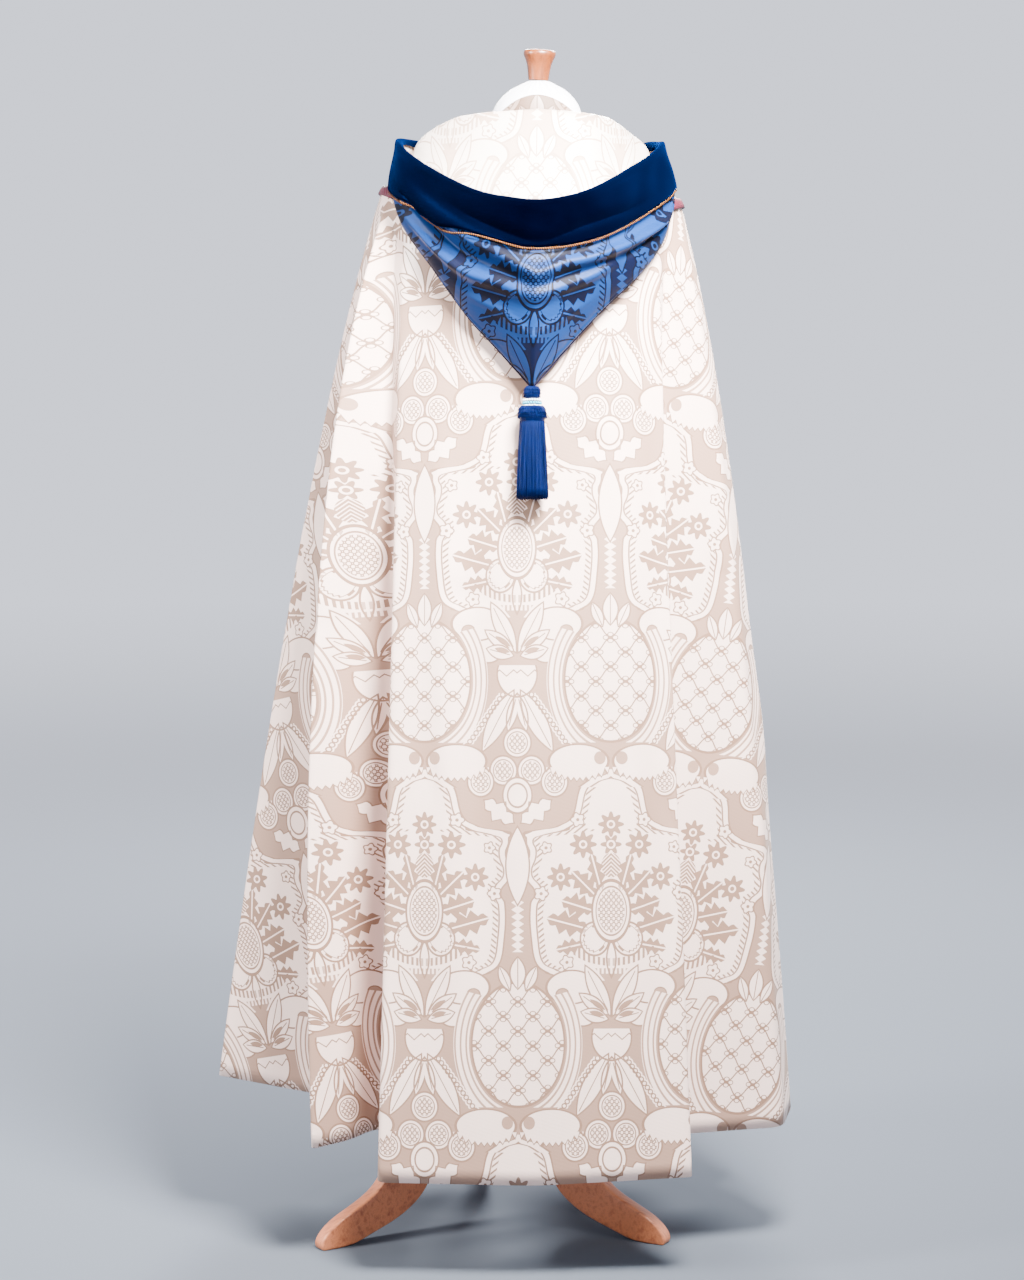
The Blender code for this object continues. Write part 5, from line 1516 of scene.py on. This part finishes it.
straight_x = morse_size[0] / 2 - BORDER_IN - BORDER_CORNER
straight_z = MORSE_HIGH / 2 - BORDER_IN - BORDER_CORNER
border = []
for across, up, start in ((1, 1, 0), (-1, 1, 90), (-1, -1, 180), (1, -1, 270), (1, 1, 360)):
    for step in range(6 if start < 360 else 1):
        angle = math.radians(start + 18 * step)
        x = across * straight_x + BORDER_CORNER * math.cos(angle)
        z_at = up * straight_z + BORDER_CORNER * math.sin(angle)
        border.append(turn_plaque @ Vector((x, MORSE_THICK / 2 + BORDER_OUT, z_at)))
border_cord = add_cord("morse_border", border, PIPING_RADIUS)
finish_piece(border_cord, red_gold, "red_gold_cord")

# The floor, the studio light and the camera. The floor is one sheet that turns up far away all round, so that no
# edge of it shows. It looks pale by a painted glow: away from the form its colour fades to black while it glows
# more and more, so the far floor and the sweep shine with their own light.
SWEEP = ((3.0, 0.0), (7.5, 0.0), (9.6, 0.35), (11.0, 1.3), (11.8, 2.8), (12.0, 4.6), (12.0, 9.0))
SWEEP_SIDES = 96
GLOW_FROM = 0.3
GLOW_REACH = 7.7
ring_points = [(0.0, 0.0, 0.0)]
for wide, high in SWEEP:
    for n in range(SWEEP_SIDES):
        angle = 2 * math.pi * n / SWEEP_SIDES
        ring_points.append((wide * math.cos(angle), wide * math.sin(angle), high))
ring_walls = [(0, 1 + n, 1 + (n + 1) % SWEEP_SIDES) for n in range(SWEEP_SIDES)]
for start in range(1, 1 + SWEEP_SIDES * (len(SWEEP) - 1), SWEEP_SIDES):
    for n in range(SWEEP_SIDES):
        low_a, low_b = start + n, start + (n + 1) % SWEEP_SIDES
        ring_walls.append((low_a, low_a + SWEEP_SIDES, low_b + SWEEP_SIDES, low_b))
floor = new_mesh("studio_floor", ring_points, ring_walls)
curve = floor.modifiers.new("curve", "SUBSURF")
curve.levels = curve.render_levels = 1
paper = Finish("paper_painted_glow")
away = paper.node("ShaderNodeVectorMath", {"operation": "LENGTH"}, {0: paper.place()}, 1)
far_out = ((away - GLOW_FROM) / GLOW_REACH).math("MAXIMUM", 0.0).math("MINIMUM", 1.0)
near_tone = paper.mix(paper.noise(paper.place(), 1.5, 2.0) * 0.3, (0.105, 0.120, 0.146), (0.096, 0.111, 0.136))
paper_painted_glow = paper.set(
    Base_Color=paper.mix(far_out.math("POWER", 1.5), near_tone, (0.0, 0.0, 0.0)),
    # Painted glow: the floor emits light of its own, more the farther it is from the form.
    Emission_Color=paper.mix(far_out.math("POWER", 0.85), (0.0, 0.0, 0.0), (1.18, 1.235, 1.42)),
    Emission_Strength=1.0,
    Roughness=0.9,
    Specular_IOR_Level=0.0,
)
floor.data.materials.append(paper_painted_glow)

world = bpy.data.worlds.new("studio_air")
bpy.context.scene.world = world
world.use_nodes = True
air = world.node_tree.nodes["Background"]
air.inputs["Color"].default_value = (0.86, 0.93, 1.0, 1.0)
air.inputs["Strength"].default_value = 0.16
Lamp = namedtuple("Lamp", "name at aim size spread watts colour")
for lamp in (
    Lamp("soft_key", (-2.45, -1.05, 1.95), (0.0, 0.0, 0.9), 0.7, 180, 190.0, (1.0, 0.96, 0.92)),
    Lamp("soft_side", (2.2, -2.2, 1.9), (0.0, 0.0, 0.9), 0.9, 180, 30.0, (1.0, 0.96, 0.93)),
    Lamp("soft_top", (0.40, -1.00, 2.13), (0.05, -0.2, 1.33), 0.6, 94, 122.0, (1.0, 0.97, 0.94)),
    Lamp("soft_front", (0.3, 3.0, 2.8), (0.0, 0.0, 0.9), 1.4, 180, 520.0, (1.0, 0.98, 0.96)),
):
    light = bpy.data.lights.new(lamp.name, "AREA")
    light.shape = "DISK"
    light.size = lamp.size
    light.spread = math.radians(lamp.spread)
    light.energy = lamp.watts
    light.color = lamp.colour
    stood = bpy.data.objects.new(lamp.name, light)
    bpy.context.collection.objects.link(stood)
    stood.location = lamp.at
    stood.rotation_euler = (Vector(lamp.aim) - Vector(lamp.at)).to_track_quat("-Z", "Y").to_euler()
    stood.visible_camera = False

# The camera: its focal length and the frame's height are in pixels, and so is how far it looks down.
CAMERA_AT = (0.012, -4.0, 1.222)
FOCAL = 2950
FRAME_HIGH = 1280
LOOKS_DOWN = 306
SENSOR = 36.0
eye = bpy.data.cameras.new("camera")
eye.sensor_fit = "VERTICAL"
eye.sensor_height = SENSOR
eye.lens = SENSOR * FOCAL / FRAME_HIGH
camera = bpy.data.objects.new("camera", eye)
bpy.context.collection.objects.link(camera)
camera.location = CAMERA_AT
camera.rotation_euler = (math.pi / 2 - math.atan(LOOKS_DOWN / FOCAL), 0, 0)
bpy.context.scene.camera = camera
